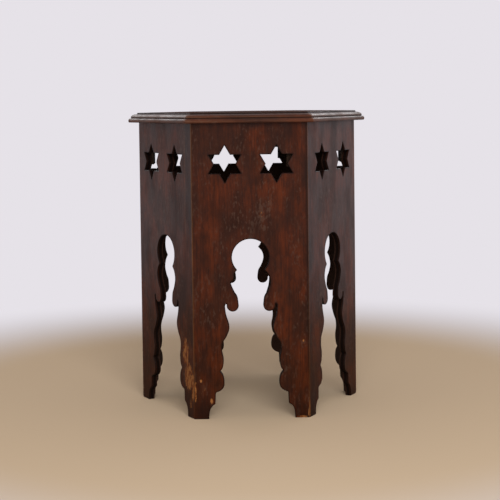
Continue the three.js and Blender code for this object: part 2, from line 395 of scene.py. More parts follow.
@dataclass(frozen=True)
class Arch:
    """The scalloped keyhole arch, from the middle of the board and from the floor."""

    foot_half_width: float = 79.5
    height: float = 332.0
    head_radius: float = 33.8
    cusp_angle: float = -42.5
    bulb_radius: float = 11.0
    bulb_start: float = 170.0
    bulb_end: float = 370.0
    step: float = 2.0

    # Knots of the sawn edge, as shares of the arch's half width and of its height, or for a scallop
    # of the height between the cusp and the bulb.
    SCALLOP_SHARES = ((0.092, 0.861), (0.134, 0.634), (0.072, 0.381), (-0.004, 0.212))
    SPARE_LOBE_SHARES = ((0.059, 0.908), (0.071, 0.787), (0.087, 0.708))
    SPARE_SCALLOP_SHARES = ((0.147, 0.645), (0.127, 0.539), (0.065, 0.36), (-0.004, 0.212))
    BULB_CENTRE_SHARES = (0.421, 0.634)
    LEG_LOBE_SHARES = (
        (0.579, 0.645), (0.597, 0.63), (0.575, 0.581), (0.502, 0.515), (0.562, 0.467),
        (0.664, 0.425), (0.68, 0.384), (0.644, 0.334), (0.669, 0.289), (0.727, 0.268),
    )
    LEG_BULGE_SHARES = (
        (0.727, 0.268), (0.66, 0.243), (0.633, 0.208), (0.648, 0.18), (0.72, 0.16), (0.83, 0.148),
    )
    SHANK_HEAD_SHARES = (0.839, 0.14)
    TOE_SHARES = ((0.849, 0.084), (0.93, 0.069), (0.984, 0.042), (1.0, 0.0))

    def place(self, shares: Any) -> Points:
        """Returns points from shares of the arch's half width and height."""
        return np.asarray(shares) * (self.foot_half_width, self.height)

    def scallop(self, cusp: Points, bulb: Points, has_spare_lobe: bool) -> Points:
        """The edge from the cusp down to the bulb.

        Args:
            cusp: where the round head ends.
            bulb: where the bulb starts.
            has_spare_lobe: whether a small extra lobe was sawn under the cusp.

        Returns:
            The points after the cusp, one a row.
        """
        low, scale = np.array([cusp[0], bulb[1]]), np.array([self.foot_half_width, cusp[1] - bulb[1]])
        if not has_spare_lobe:
            knots = low + np.asarray(self.SCALLOP_SHARES) * scale
            return spline(np.vstack([cusp, knots, bulb]), self.step)[1:]
        lobe = low + np.asarray(self.SPARE_LOBE_SHARES) * scale
        rest = low + np.asarray(self.SPARE_SCALLOP_SHARES) * scale
        return np.vstack([
            spline(np.vstack([cusp, lobe]), self.step)[1:],
            spline(np.vstack([rest, bulb]), self.step),
        ])

    def half(self, has_spare_lobe: bool) -> Points:
        """One half of the arch, from its crown down to the floor.

        Args:
            has_spare_lobe: whether this half has the extra lobe.

        Returns:
            The points, one a row, to the right of the middle.
        """
        head = arc((0, self.height - self.head_radius), self.head_radius, 90, self.cusp_angle, self.step)
        centre = self.place(self.BULB_CENTRE_SHARES)
        bulb = arc(centre, self.bulb_radius, self.bulb_start, self.bulb_end, self.step)
        return np.vstack([
            head,
            self.scallop(head[-1], bulb[0], has_spare_lobe),
            bulb[1:],
            spline(self.place(self.LEG_LOBE_SHARES), self.step),
            spline(self.place(self.LEG_BULGE_SHARES), self.step)[1:],
            straight(self.place(self.SHANK_HEAD_SHARES), self.place(self.TOE_SHARES[0]), self.step),
            spline(self.place(self.TOE_SHARES), self.step),
        ])


@dataclass(frozen=True)
class Stars:
    """The two pierced six-pointed stars of a board, laid out by Geometry Nodes."""

    points: int = 6
    radius: float = 33.5
    spacing: float = 93.2
    drop: float = 73.5
    cuts: int = 8

    def tree(self) -> Tree:
        """Builds the tree that sets one star on each of two centres.

        Returns:
            The tree.
        """
        tree, sizes = geometry_tree("pierced_stars", {
            "Points": "Int", "Radius": "Float", "Notch Radius": "Float", "Spacing": "Float",
            "Height": "Float", "Drift": "Float", "Cuts": "Int", "Finish": "Material",
        })
        get = sizes.outputs
        star = add(tree, "GeometryNodeCurveStar", {
            "Points": get["Points"], "Outer Radius": get["Radius"], "Inner Radius": get["Notch Radius"],
        })
        fine = add(tree, "GeometryNodeSubdivideCurve", {"Curve": star.outputs[0], "Cuts": get["Cuts"]})
        outline = add(tree, "GeometryNodeCurveToMesh", {"Curve": fine.outputs[0]})
        half = add(tree, "ShaderNodeMath", {0: get["Spacing"], 1: 0.5}, operation="MULTIPLY")
        ends = []
        for hand in ("SUBTRACT", "ADD"):
            across = add(tree, "ShaderNodeMath", {0: get["Drift"], 1: half.outputs[0]}, operation=hand)
            ends.append(add(tree, "ShaderNodeCombineXYZ", {"X": across.outputs[0], "Y": get["Height"]}))
        centres = add(tree, "GeometryNodeMeshLine", {
            "Count": len(ends), "Start Location": ends[0].outputs[0], "Offset": ends[1].outputs[0],
        }, mode="END_POINTS")
        upright = add(tree, "FunctionNodeAxisAngleToRotation", {"Axis": (0, 0, 1), "Angle": math.pi / 2})
        placed = add(tree, "GeometryNodeInstanceOnPoints", {
            "Points": centres.outputs[0], "Instance": outline.outputs[0], "Rotation": upright.outputs[0],
        })
        end_tree(tree, placed.outputs[0], get["Finish"])
        return tree

    def outlines(self, tree: Tree, head: float, drift: float, finish: Material) -> list[Points]:
        """Lays the stars out on one board.

        Args:
            tree: what `tree` returned.
            head: height of the board's upper end.
            drift: how far both stars sit to the right of the middle.
            finish: the board's material.

        Returns:
            One closed outline for each star.
        """
        mesh = grow(tree, {
            "Points": self.points, "Radius": self.radius, "Notch Radius": self.radius / math.sqrt(3),
            "Spacing": self.spacing, "Height": head - self.drop, "Drift": drift, "Cuts": self.cuts,
            "Finish": finish,
        })
        flat = np.array([v.co[:2] for v in mesh.vertices])
        count = 2 * self.points * (self.cuts + 1)
        bpy.data.meshes.remove(mesh)
        return [flat[:count], flat[count:]]


@dataclass(frozen=True)
class Scuff:
    """A rubbed or knocked place on the outside of a side board."""

    side: Side
    across: float
    height: float
    half_width: float
    half_height: float
    strength: float
    depth: float = 0.0

    # How steeply a scuff fades towards its rim. Above 1, its middle shows at full strength.
    FADE = 1.4

    def at(self, points: Points) -> Points:
        """Returns how strongly the scuff shows at points of the board, from 0 to its strength."""
        out = (points - (self.across, self.height)) / (self.half_width, self.half_height)
        return self.strength * np.clip(self.FADE - self.FADE * np.linalg.norm(out, axis=1), 0, 1)


@dataclass(frozen=True)
class Strip:
    """A strip of darker wood along a corner, glued on along a fine line that the stain left pale."""

    side: Side
    inner_edge: float
    lowest: float
    line: float
    darkness: float

    RISE = 60.0
    EDGE_WIDTH = 2.5
    LINE_WIDTH = 1.3

    def at(self, points: Points) -> tuple[Points, Points]:
        """Says how the strip changes the board's colour.

        Args:
            points: places on the board, one a row.

        Returns:
            How dark and how pale it makes each point, from 0 to 1.
        """
        hand = math.copysign(1, self.inner_edge)
        past = (points[:, 0] - self.inner_edge) * hand
        rise = np.clip((points[:, 1] - self.lowest) / self.RISE, 0, 1)
        dark = np.clip(past / self.EDGE_WIDTH + 0.5, 0, 1) * rise * self.darkness
        return dark, self.line * rise * np.exp(-(past / self.LINE_WIDTH) ** 2)


@dataclass(frozen=True)
class JointLine:
    """The fine line of a mitre: pale on one board, partly rubbed wood and partly a painted highlight of the
    rounded corner, or dark with old dirt.
    """

    side: Side
    hand: int
    lowest: float
    pale: float
    dark: float
    width: float = 2.0

    RISE = 40.0

    def at(self, points: Points, corner: Points) -> tuple[Points, Points]:
        """Says how the line changes the board's colour.

        Args:
            points: places on the board, one a row.
            corner: how far each lies from the mitre.

        Returns:
            How dark and how pale it makes each point, from 0 to 1.
        """
        rise = np.clip((points[:, 1] - self.lowest) / self.RISE, 0, 1)
        near = rise * np.exp(-(corner / self.width) ** 2) * (points[:, 0] * self.hand > 0)
        return near * self.dark, near * self.pale


STRIPS = (
    Strip(Side.FRONT_LEFT, 79.5, 300, 0.25, 0.42),
    Strip(Side.FRONT_RIGHT, -89.5, 20, 0.0, 0.36),
)

# Pale lines along the mitres are partly rubbed wood and partly a painted highlight of the rounded corner;
# dark ones are old dirt.
JOINT_LINES = (
    JointLine(Side.FRONT_LEFT, 1, 255, 0.75, 0.0),
    JointLine(Side.FRONT_LEFT, 1, 40, 0.4, 0.0),
    JointLine(Side.FRONT, 1, 60, 0.0, 0.7, 3.4),
    JointLine(Side.FRONT_RIGHT, -1, 0, 0.25, 0.0),
    JointLine(Side.FRONT_RIGHT, 1, 90, 0.3, 0.0),
    JointLine(Side.BACK_RIGHT, 1, 120, 0.4, 0.0),
    JointLine(Side.BACK, 1, 90, 0.0, 0.5),
    JointLine(Side.BACK_LEFT, 1, 240, 0.5, 0.0),
)

SCUFFS = (
    Scuff(Side.FRONT_LEFT, 74, 120, 26, 60, 0.76, 0.3),
    Scuff(Side.FRONT_LEFT, 84, 76, 26, 48, 0.92, 0.4),
    Scuff(Side.FRONT_LEFT, 100, 60, 9, 58, 0.95, 0.5),
    Scuff(Side.FRONT_LEFT, 62, 150, 16, 30, 0.6, 0.2),
    Scuff(Side.FRONT_LEFT, 90, 24, 18, 32, 0.6, 0.2),
    Scuff(Side.FRONT, -104, 50, 4.2, 42, 0.9, 0.5),
    Scuff(Side.FRONT, -93.6, 71.5, 3.2, 4.6, 1.3, 0.9),
    Scuff(Side.FRONT, -74.5, 33.5, 3.8, 7.5, 1.3, 0.8),
    Scuff(Side.FRONT, 95, 144, 2.6, 3.6, 1.3, 0.7),
    Scuff(Side.FRONT, 104, 10, 2.6, 18, 0.7, 1.0),
    Scuff(Side.FRONT, 92, 2, 18, 3.5, 0.95, 1.0),
    Scuff(Side.FRONT, -90, 56, 12, 30, 0.55, 0.15),
    Scuff(Side.FRONT, 20, 376, 10, 40, 0.57),
    Scuff(Side.FRONT, 34, 394, 8, 28, 0.56),
    Scuff(Side.FRONT, 6, 350, 9, 26, 0.54),
    Scuff(Side.FRONT_RIGHT, -106, 16, 3, 30, 1.7, 0.5),
    Scuff(Side.BACK_RIGHT, 88, 60, 14, 46, 0.72, 0.3),
    Scuff(Side.BACK, -98, 44, 9, 40, 0.75, 0.4),
    Scuff(Side.BACK, 70, 30, 4, 7, 1.25, 0.8),
    Scuff(Side.BACK_LEFT, -96, 90, 10, 44, 0.68, 0.3),
)


@dataclass
class SideBoard:
    """One mitred side board, with its sawn arch and stars and rubbed arrises."""

    side: Side
    body: Body
    arch: Arch
    star_outlines: list[Points]
    arris_radius: float = 0.9
    arris_wave: float = 22.0
    arris_change: float = 0.35
    corner_radius: float = 2.2
    corner_wave: float = 35.0
    corner_change: float = 0.45
    # Width of the pale line along a mitre corner: partly wear, partly a painted highlight of the rounded
    # corner.
    corner_wear: float = 1.2
    dent_change: float = 0.4
    edge_dirt: float = 0.95
    edge_dirt_width: float = 1.7
    # The boards turn darker towards the foot, by this much and over this height.
    foot_darkening: float = 0.5
    foot_darkening_height: float = 26.0
    inner_arris: float = 0.7
    grid: float = 3.4
    rings: tuple[float, ...] = (0.25, 0.7, 1.3, 2.4)
    ring_gap: float = 0.8
    scuff_rows: int = 9
    wall_levels: int = 3
    swell: float = 0.12
    swell_wave: float = 60.0
    swell_margin: float = 12.0
    head_cover: float = 4.0
    head_fade: float = 20.0
    mitre_reach: float = 22.0
    edge_step: float = 3.0
    smooth_angle: float = 42.0
    outline: list[Points] = field(default_factory=list)

    # An edge this close to the corner, in millimetres, is the mitre's.
    MITRE_SLACK = 0.05
    # A ring point is kept if it stands at least this share of its inset from every edge.
    RING_SHARE = 0.93
    # Two points of a board closer together than this, in millimetres, are welded.
    WELD = 1e-5
    # So many points at a time are measured against all edges, which keeps the table of distances small.
    BLOCK = 2000
    # Every board has its own waves, and its own stretch of grain in millimetres.
    SEED_STEP = 3.7
    CORNER_SEED = 9
    SWELL_SEED = 4
    GRAIN_STEP = (431.0, 97.0, 1210.0)

    def loops(self) -> list[Points]:
        """Draws the board as it is seen from outside.

        Returns:
            The closed outlines: its own, then each star's.
        """
        body, sawn, planed = self.body, self.arch.step, self.edge_step
        foot, head = body.foot_half_width, body.head_half_width
        right = self.arch.half(False)
        left = self.arch.half(self.side is Side.FRONT) * (-1, 1)
        own = np.vstack([
            straight((-self.arch.foot_half_width, 0), (-foot, 0), sawn),
            straight((-foot, 0), (-head, body.head), planed),
            straight((-head, body.head), (head, body.head), planed),
            straight((head, body.head), (foot, 0), planed),
            straight((foot, 0), (self.arch.foot_half_width, 0), sawn),
            right[::-1],
            left[1:-1],
        ])
        return [own, *self.star_outlines]

    def edge_distance(self, points: Points, sawn_only: bool) -> Points:
        """How far points lie from the sawn edges of the board.

        Args:
            points: places on the board, one a row.
            sawn_only: leaves out the mitres and the head, which other pieces cover.

        Returns:
            One distance for each point.
        """
        starts = np.vstack(self.outline)
        ends = np.vstack([np.roll(loop, -1, axis=0) for loop in self.outline])
        if sawn_only:
            width = self.body.half_width(starts[:, 1]) - self.MITRE_SLACK
            covered = (np.abs(starts[:, 0]) > width) & (np.abs(ends[:, 0]) > width - self.MITRE_SLACK)
            covered &= (starts[:, 1] > TOUCH) | (ends[:, 1] > TOUCH)
            covered |= starts[:, 1] > self.body.head - TOUCH
            starts, ends = starts[~covered], ends[~covered]
        best = np.zeros(len(points))
        along = ends - starts
        squared = (along ** 2).sum(1)
        for block in np.array_split(np.arange(len(points)), max(1, len(points) // self.BLOCK)):
            reach = points[block][:, None, :] - starts[None]
            share = np.clip((reach * along).sum(2) / squared, 0, 1)
            gap = reach - share[..., None] * along
            best[block] = np.sqrt((gap ** 2).sum(2).min(1))
        return best

    def is_wood(self, points: Points) -> Points:
        """Tells which points lie in the board's own outline and outside its stars.

        Args:
            points: places on the board, one a row.

        Returns:
            True or false for each point.
        """
        inside = np.zeros(len(points), bool)
        for loop in self.outline:
            ends = np.roll(loop, -1, axis=0)
            for (ax, ay), (bx, by) in zip(loop, ends):
                if ay == by:
                    continue
                crosses = (points[:, 1] >= min(ay, by)) & (points[:, 1] < max(ay, by))
                reach = ax + (points[:, 1] - ay) * (bx - ax) / (by - ay)
                inside ^= crosses & (points[:, 0] < reach)
        return inside

    def ring_points(self) -> Points:
        """Sets points on lines that follow every edge, which carry the rounding of the arrises.

        Returns:
            The points that lie in the wood, one a row.
        """
        rows = []
        for loop in self.outline:
            before, after = np.roll(loop, 1, axis=0), np.roll(loop, -1, axis=0)
            along = after - before
            side = np.column_stack([-along[:, 1], along[:, 0]]) / np.linalg.norm(along, axis=1)[:, None]
            for inset in self.rings:
                for hand in (-1, 1):
                    rows.append(np.column_stack([loop + hand * inset * side, np.full(len(loop), inset)]))
        made = np.vstack(rows)
        flat = made[:, :2]
        keep = self.is_wood(flat)
        keep[keep] = self.edge_distance(flat[keep], False) > self.RING_SHARE * made[keep, 2]
        return flat[keep]

    def field_points(self) -> Points:
        """Lays a close grid over the flat of the board, with more points in small scuffs.

        Returns:
            The points that lie in the wood and clear of the rings, one a row.
        """
        step_up = self.grid * math.sqrt(3) / 2
        rows = []
        width = self.body.foot_half_width
        for i, height in enumerate(np.arange(self.grid, self.body.head, step_up)):
            shift = self.grid / 2 * (i % 2)
            across = np.arange(-width + shift, width, self.grid)
            rows.append(np.column_stack([across, np.full(len(across), height)]))
        for scuff in self.scuffs():
            if scuff.half_width < 2 * self.grid:
                fine = np.linspace(-1, 1, self.scuff_rows)
                near = np.array([(a, b) for a in fine for b in fine])
                rows.append(near * (scuff.half_width, scuff.half_height) + (scuff.across, scuff.height))
        made = np.vstack(rows)
        made = made[self.is_wood(made)]
        return made[self.edge_distance(made, False) > self.rings[-1] + self.ring_gap]

    def scuffs(self) -> list[Scuff]:
        """Returns the scuffs of this side."""
        return [scuff for scuff in SCUFFS if scuff.side is self.side]

    def triangulate(self) -> tuple[Points, Points]:
        """Fills the outlines with triangles.

        Returns:
            All points, those of the outlines first, and the corners of each triangle.
        """
        edge = np.vstack(self.outline)
        spots = np.vstack([edge, self.ring_points(), self.field_points()])
        ties, first = [], 0
        for loop in self.outline:
            ties += [(first + i, first + (i + 1) % len(loop)) for i in range(len(loop))]
            first += len(loop)
        found = geometry.delaunay_2d_cdt([Vector(p) for p in spots], ties, [], 0, self.WELD)
        points = np.array([tuple(p) for p in found[0]])
        faces = np.array([f for f in found[2] if len(f) == 3])
        return points, faces[self.is_wood(points[faces].mean(axis=1))]

    def rounding(self, gap: Points, radius: Points) -> Points:
        """Returns how far an arris of a radius falls back at a distance from its edge."""
        share = np.clip(1 - gap / radius, 0, 1)
        return radius * (1 - np.sqrt(np.clip(1 - share ** 2, 0, 1)))

    def relief(self, points: Points, sawn: Points) -> Points:
        """Shapes the outside: rounded arrises, dents and a slight swell left by the scraper.

        Args:
            points: places on the board.
            sawn: how far each lies from a sawn edge.

        Returns:
            How deep each point falls back.
        """
        seed = self.SEED_STEP * (self.side.place + 1)
        spread = np.column_stack([points, np.zeros(len(points))])
        rough = waves(spread, self.arris_wave, seed)
        radius = self.arris_radius * (1 + self.arris_change * rough)
        mitre = self.body.half_width(points[:, 1]) - np.abs(points[:, 0])
        rubbed = 1 + self.corner_change * waves(spread, self.corner_wave, seed + self.CORNER_SEED)
        reach = self.corner_radius * rubbed * math.tan(HALF_TURN / 2)
        fall = np.clip(1 - mitre / reach, 0, 1) ** 2
        corner = self.corner_radius * (1 - math.cos(HALF_TURN)) * fall
        uneven = 1 - self.dent_change + self.dent_change * rough
        dent = np.zeros(len(points))
        for scuff in self.scuffs():
            dent = np.maximum(dent, scuff.depth * np.minimum(scuff.at(points), 1) * uneven)
        below_top = np.clip((self.body.head - self.head_cover - points[:, 1]) / self.head_fade, 0, 1)
        swell = self.swell * (1 - waves(spread, self.swell_wave, seed + self.SWELL_SEED)) * below_top
        for margin in (sawn, mitre):
            swell *= np.clip(margin / self.swell_margin, 0, 1)
        return np.maximum(self.rounding(sawn, radius), corner) + dent + swell / 2

    def surface(self, points: Points, sawn: Points) -> dict[str, Points]:
        """What use and dirt have done to the outside, with darkening towards the foot and a painted
        highlight along the mitre corners.

        Args:
            points: places on the board.
            sawn: how far each lies from a sawn edge.

        Returns:
            How worn, scuffed, dark and pale each point is, from 0 to 1.
        """
        corner = self.body.half_width(points[:, 1]) - np.abs(points[:, 0])
        at_edge = self.edge_dirt * np.exp(-(sawn / self.edge_dirt_width) ** 2)
        # Darker towards the foot.
        at_foot = self.foot_darkening * np.exp(-(points[:, 1] / self.foot_darkening_height) ** 2)
        found = {
            # Pale along the mitre corner: partly rubbed wood, partly a painted highlight of the rounded
            # corner.
            "wear": np.exp(-(corner / self.corner_wear) ** 2),
            "scuff": np.zeros(len(points)),
            "dark": np.maximum(at_edge, at_foot),
            "pale": np.zeros(len(points)),
        }
        for scuff in self.scuffs():
            found["scuff"] = np.maximum(found["scuff"], scuff.at(points))
        lines = [strip.at(points) for strip in STRIPS if strip.side is self.side]
        lines += [line.at(points, corner) for line in JOINT_LINES if line.side is self.side]
        for dark, pale in lines:
            found["dark"] = np.maximum(found["dark"], dark)
            found["pale"] = np.maximum(found["pale"], pale)
        return found

    def stand_up(self, flat: Points, depth: Points) -> Points:
        """Stands board places up against the body.

        Args:
            flat: across and height of each point.
            depth: how far each lies behind the outside.

        Returns:
            Points in the frame of the front side, in millimetres.
        """
        edge = self.body.half_width(flat[:, 1])
        slant = np.clip(1 - (edge - np.abs(flat[:, 0])) / self.mitre_reach, 0, 1)
        across = flat[:, 0] - np.sign(flat[:, 0]) * slant * depth * math.tan(HALF_TURN)
        return np.column_stack([across, depth - self.body.distance(flat[:, 1]), flat[:, 1]])

    def build(self, finish: Material) -> bpy.types.Object:
        """Makes the board.

        Args:
            finish: the material of the whole board.

        Returns:
            The finished piece.
        """
        self.outline = self.loops()
        flat, faces = self.triangulate()
        sawn = self.edge_distance(flat, True)
        depth = self.relief(flat, sawn)
        behind = self.body.thickness - self.rounding(sawn, np.full(len(flat), self.inner_arris))
        rim = np.arange(sum(len(loop) for loop in self.outline))
        shares = np.arange(1, self.wall_levels + 1) / (self.wall_levels + 1)
        walls = [self.stand_up(flat[rim], depth[rim] * (1 - s) + behind[rim] * s) for s in shares]
        layers = [self.stand_up(flat, depth), *walls, self.stand_up(flat, behind)]
        starts = np.cumsum([0, *[len(layer) for layer in layers]])
        polygons = [tuple(f) for f in faces]
        first = 0
        for loop in self.outline:
            ring = [first + i for i in range(len(loop))]
            for upper, lower in zip(starts[:-2], starts[1:-1]):
                for a, b in zip(ring, ring[1:] + ring[:1]):
                    polygons.append((upper + a, lower + a, lower + b, upper + b))
            first += len(loop)
        polygons += [tuple(starts[-2] + i for i in reversed(f)) for f in faces]
        places = np.vstack(layers)
        mesh = bpy.data.meshes.new(f"{self.side.label}_side_board")
        mesh.from_pydata([tuple(p) for p in places * MM], [], polygons)
        level = np.repeat(np.arange(len(layers)), [len(layer) for layer in layers])
        is_outside, is_inside = level == 0, level == len(layers) - 1
        for name, values in self.surface(flat, sawn).items():
            spread = np.zeros(len(places))
            spread[is_outside] = values
            set_attribute(mesh, name, spread)
        set_attribute(mesh, "cut", (~is_outside & ~is_inside).astype(float))
        set_attribute(mesh, "inside", is_inside.astype(float))
        shift = np.array(self.GRAIN_STEP) * (self.side.place + 1)
        set_attribute(mesh, "grain", (places + shift) * MM)
        mesh.transform(self.side.stand())
        mesh.materials.append(finish)
        self.face_outwards(mesh)
        smooth(mesh, self.smooth_angle)
        return put(mesh, f"{self.side.label}_side_board", [f"panel_{self.side.label}"])

    def face_outwards(self, mesh: Mesh) -> None:
        """Turns the faces outwards, whichever way the outlines run.

        Args:
            mesh: the whole board.
        """
        shell = bmesh.new()
        shell.from_mesh(mesh)
        bmesh.ops.recalc_face_normals(shell, faces=shell.faces)
        shell.to_mesh(mesh)
        shell.free()


@dataclass
class Top:
    """Three boards glued edge to edge, with one moulding run round all six edges by Geometry Nodes."""

    thickness: float = 18.5
    field_inset: float = 15.0
    field_step_depth: float = 2.8
    ovolo_head_inset: float = 13.6
    ovolo_foot_inset: float = 4.2
    ovolo_foot_depth: float = 9.0
    groove_inset: float = 5.2
    groove_depth: float = 10.0
    bead_head_depth: float = 10.8
    bead_nose_depth: float = 15.4
    bead_neck_inset: float = 3.4
    bead_foot_inset: float = 1.6
    arris: float = 0.6
    glue_line: float = 0.3
    steps: int = 7
    field_steps: int = 9
    field_margin: float = 6.0
    below_steps: int = 8
    below_margin: float = 3.0
    cuts: int = 59
    corner_wear: float = 2.6
    corner_change: float = 0.4
    swell: float = 0.14
    swell_wave: float = 45.0
    sink_share: float = 0.6
    nose_rub: float = 2.0
    crest_rub: float = 1.2
    tip_rub: float = 5.0
    rub_share: float = 0.7
    tip_scuff: float = 0.45
    # How dark the field's step and the moulding's groove are painted: painted shade where shade falls in
    # them.
    painted_shade_share: float = 0.85
    groove_shade_share: float = 0.7
    groove_reach: float = 1.1
    smooth_angle: float = 40.0

    BOARDS = ("front", "middle", "back")
    # The field's eased arris, as shares of `arris`, and how far in and down the foot of its step and
    # the two ends of the groove lie from the forms that they join.
    ARRIS_SHARES = ((2.5, 0.05), (1.0, 0.2), (0.2, 1.0))
    STEP_FOOT = (0.0, -0.2)
    GROOVE_HEAD = (0.15, 0.25)
    GROOVE_FOOT = (-0.1, -0.25)
    SWELL_SEED = 5.1
    # Points nearer the middle than this, in millimetres, lie in no corner.
    HUB = 1.0
    # An edge whose two ends lie apart, seen from the middle, by an angle with at least this sine
    # runs along a side of the table.
    ALONG_SINE = 0.5
    # The corners are rubbed by different amounts: a wave that is read once for each, in radians.
    CORNER_WAVE_STEP = 2.7
    CORNER_WAVE_START = 1.0
    # A point this close to a saw cut, in millimetres, lies on it.
    CUT_TOUCH = 1e-4
    # Depths under `FACE_DEPTH` are the flat field, its step lies past `STEP_START`, and `MARGIN` is
    # added round a form to mark all of it.
    FACE_DEPTH = 0.2
    STEP_START = 0.4
    MARGIN = 0.5
    # Millimetres of grain between two boards, and from the side boards' grain.
    BOARD_STEP = 311.0
    GRAIN_SHIFT = 57.0

    def profile(self, apothem: float) -> Points:
        """The top's half section, from the middle of its face round the moulding to the middle below.

        Args:
            apothem: how far its sides stand from the middle.

        Returns:
            How far each point is set in from the outermost line, and how deep it lies.
        """
        turn = np.linspace(0, math.pi / 2, self.steps + 1)
        rise, fall = np.sin(turn), 1 - np.cos(turn)
        flat = np.linspace(apothem, self.field_inset + self.field_margin, self.field_steps)
        below = np.linspace(self.bead_foot_inset + self.below_margin, apothem, self.below_steps)
        ovolo_width = self.ovolo_head_inset - self.ovolo_foot_inset
        ovolo_depth = self.ovolo_foot_depth - self.field_step_depth
        bead_height = self.bead_nose_depth - self.bead_head_depth
        foot_height = self.thickness - self.bead_nose_depth
        return np.vstack([
            np.column_stack([flat, np.zeros(len(flat))]),
            np.add((self.field_inset, 0), np.multiply(self.ARRIS_SHARES, self.arris)),
            np.add((self.field_inset, self.field_step_depth), self.STEP_FOOT),
            np.column_stack([self.ovolo_head_inset - ovolo_width * rise,
                             self.field_step_depth + ovolo_depth * fall]),
            np.add((self.ovolo_foot_inset, self.ovolo_foot_depth), self.GROOVE_HEAD),
            (self.groove_inset, self.groove_depth),
            np.add((self.groove_inset, self.bead_head_depth), self.GROOVE_FOOT),
            np.column_stack([self.bead_neck_inset * (1 - rise),
                             self.bead_nose_depth - bead_height * np.cos(turn)]),
            np.column_stack([self.bead_foot_inset * fall,
                             self.bead_nose_depth + foot_height * rise])[1:],
            np.column_stack([below, np.full(len(below), self.thickness)]),
        ])

    def tree(self) -> Tree:
        """Builds the tree that sweeps the profile it is given round a regular outline.

        Returns:
            The tree.
        """
        tree, sizes = geometry_tree("swept_moulding", {
            "Sides": "Int", "Corner Radius": "Float", "Height": "Float", "Finish": "Material",
        })
        get = sizes.outputs
        ring = add(tree, "GeometryNodeMeshCircle", {
            "Vertices": get["Sides"], "Radius": get["Corner Radius"],
        })
        path = add(tree, "GeometryNodeMeshToCurve", {"Mesh": ring.outputs[0]})
        section = add(tree, "GeometryNodeMeshToCurve", {"Mesh": get["Geometry"]})
        swept = add(tree, "GeometryNodeCurveToMesh", {
            "Curve": path.outputs[0], "Profile Curve": section.outputs[0],
        })
        closed = add(tree, "GeometryNodeMergeByDistance", {"Geometry": swept.outputs[0], "Distance": TOUCH})
        lift = add(tree, "ShaderNodeCombineXYZ", {"Z": get["Height"]})
        raised = add(tree, "GeometryNodeSetPosition", {
            "Geometry": closed.outputs[0], "Offset": lift.outputs[0],
        })
        end_tree(tree, raised.outputs[0], get["Finish"])
        return tree

    def sweep(self, apothem: float, height: float, finish: Material) -> bmesh.types.BMesh:
        """Runs the moulding round the table's outline.

        Args:
            apothem: how far the sides stand from the middle.
            height: of the upper face.
            finish: the top's material.

        Returns:
            A closed shell in millimetres, cut finely along its sides.
        """
        section = self.profile(apothem)
        start = bpy.data.meshes.new("top_section")
        mitred = [(-inset / math.cos(HALF_TURN), depth, 0) for inset, depth in section]
        start.from_pydata(mitred, [(i, i + 1) for i in range(len(mitred) - 1)], [])
        mesh = grow(self.tree(), {
            "Sides": SIDE_COUNT, "Corner Radius": apothem / math.cos(HALF_TURN), "Height": height,
            "Finish": finish,
        }, start)
        shell = bmesh.new()
        shell.from_mesh(mesh)
        bpy.data.meshes.remove(mesh)
        along = [e for e in shell.edges if self.runs_along(e)]
        bmesh.ops.subdivide_edges(shell, edges=along, cuts=self.cuts, use_grid_fill=True)
        bmesh.ops.recalc_face_normals(shell, faces=shell.faces)
        return shell

    def runs_along(self, edge: bmesh.types.BMEdge) -> bool:
        """Tells whether an edge runs along a side of the table rather than across its moulding.

        Args:
            edge: an edge of the swept top.

        Returns:
            True where it runs along a side.
        """
        first, second = edge.verts[0].co, edge.verts[1].co
        both = first.xy.length * second.xy.length
        return both > 0 and abs(first.x * second.y - first.y * second.x) / both > self.ALONG_SINE

    def wear(self, shell: bmesh.types.BMesh, apothem: float) -> None:
        """Rubs the corners round and lets the faces swell a little.

        Args:
            shell: the swept top.
            apothem: how far its sides stand from the middle.
        """
        places = np.array([v.co for v in shell.verts])
        swells = np.abs(waves(places, self.swell_wave, self.SWELL_SEED) * self.swell)
        for vert, swell in zip(shell.verts, swells):
            flat = vert.co.xy
            if flat.length < self.HUB:
                continue
            corner = round(math.atan2(flat.y, flat.x) / TURN)
            ahead = Vector((math.cos(corner * TURN), math.sin(corner * TURN)))
            along, aside = flat.dot(ahead), flat.x * ahead.y - flat.y * ahead.x
            side_distance = along * math.cos(HALF_TURN) + abs(aside) * math.sin(HALF_TURN)
            radius = self.rubbed_radius(corner) * side_distance / apothem
            middle = (side_distance - radius) / math.cos(HALF_TURN)
            out = flat - ahead * middle
            is_in_corner = out.dot(ahead) > out.length * math.cos(HALF_TURN)
            if is_in_corner and out.length > radius:
                flat = ahead * middle + out * (radius / out.length)
            vert.co.xy = flat * (1 - swell / apothem)
            vert.co.z -= swell * self.sink_share

    def rubbed_radius(self, corner: int) -> float:
        """Returns how far a corner is rubbed round, which differs from one to the next."""
        wave = math.sin(self.CORNER_WAVE_STEP * corner + self.CORNER_WAVE_START)
        return self.corner_wear * (1 + self.corner_change * wave)

    def build(self, finish: Material, field_finish: Material) -> None:
        """Makes the three boards.

        Args:
            finish: the material of the moulding.
            field_finish: the material of the flat field inside it.
        """
        corners = {name: vertices_of(f"top_board_{name}") for name in self.BOARDS}
        apothem = -corners["front"][:, 1].min()
        height = corners["front"][:, 2].max()
        joints = (corners["middle"][:, 1].min(), corners["middle"][:, 1].max())
        edges = {
            "front": (None, joints[0] - self.glue_line), "middle": joints,
            "back": (joints[1] + self.glue_line, None),
        }
        whole = self.sweep(apothem, height, finish)
        self.wear(whole, apothem)
        for place, name in enumerate(self.BOARDS):
            board = whole.copy()
            for limit, way in zip(edges[name], (-1, 1)):
                if limit is not None:
                    self.saw(board, limit, way)
            mesh = bpy.data.meshes.new(f"top_{name}_board")
            board.to_mesh(mesh)
            board.free()
            self.mark(mesh, apothem, place)
            mesh.transform(Matrix.Scale(MM, 4))
            for each in (finish, field_finish):
                mesh.materials.append(each)
            smooth(mesh, self.smooth_angle)
            put(mesh, f"top_{name}_board", [f"top_board_{name}"])
        whole.free()

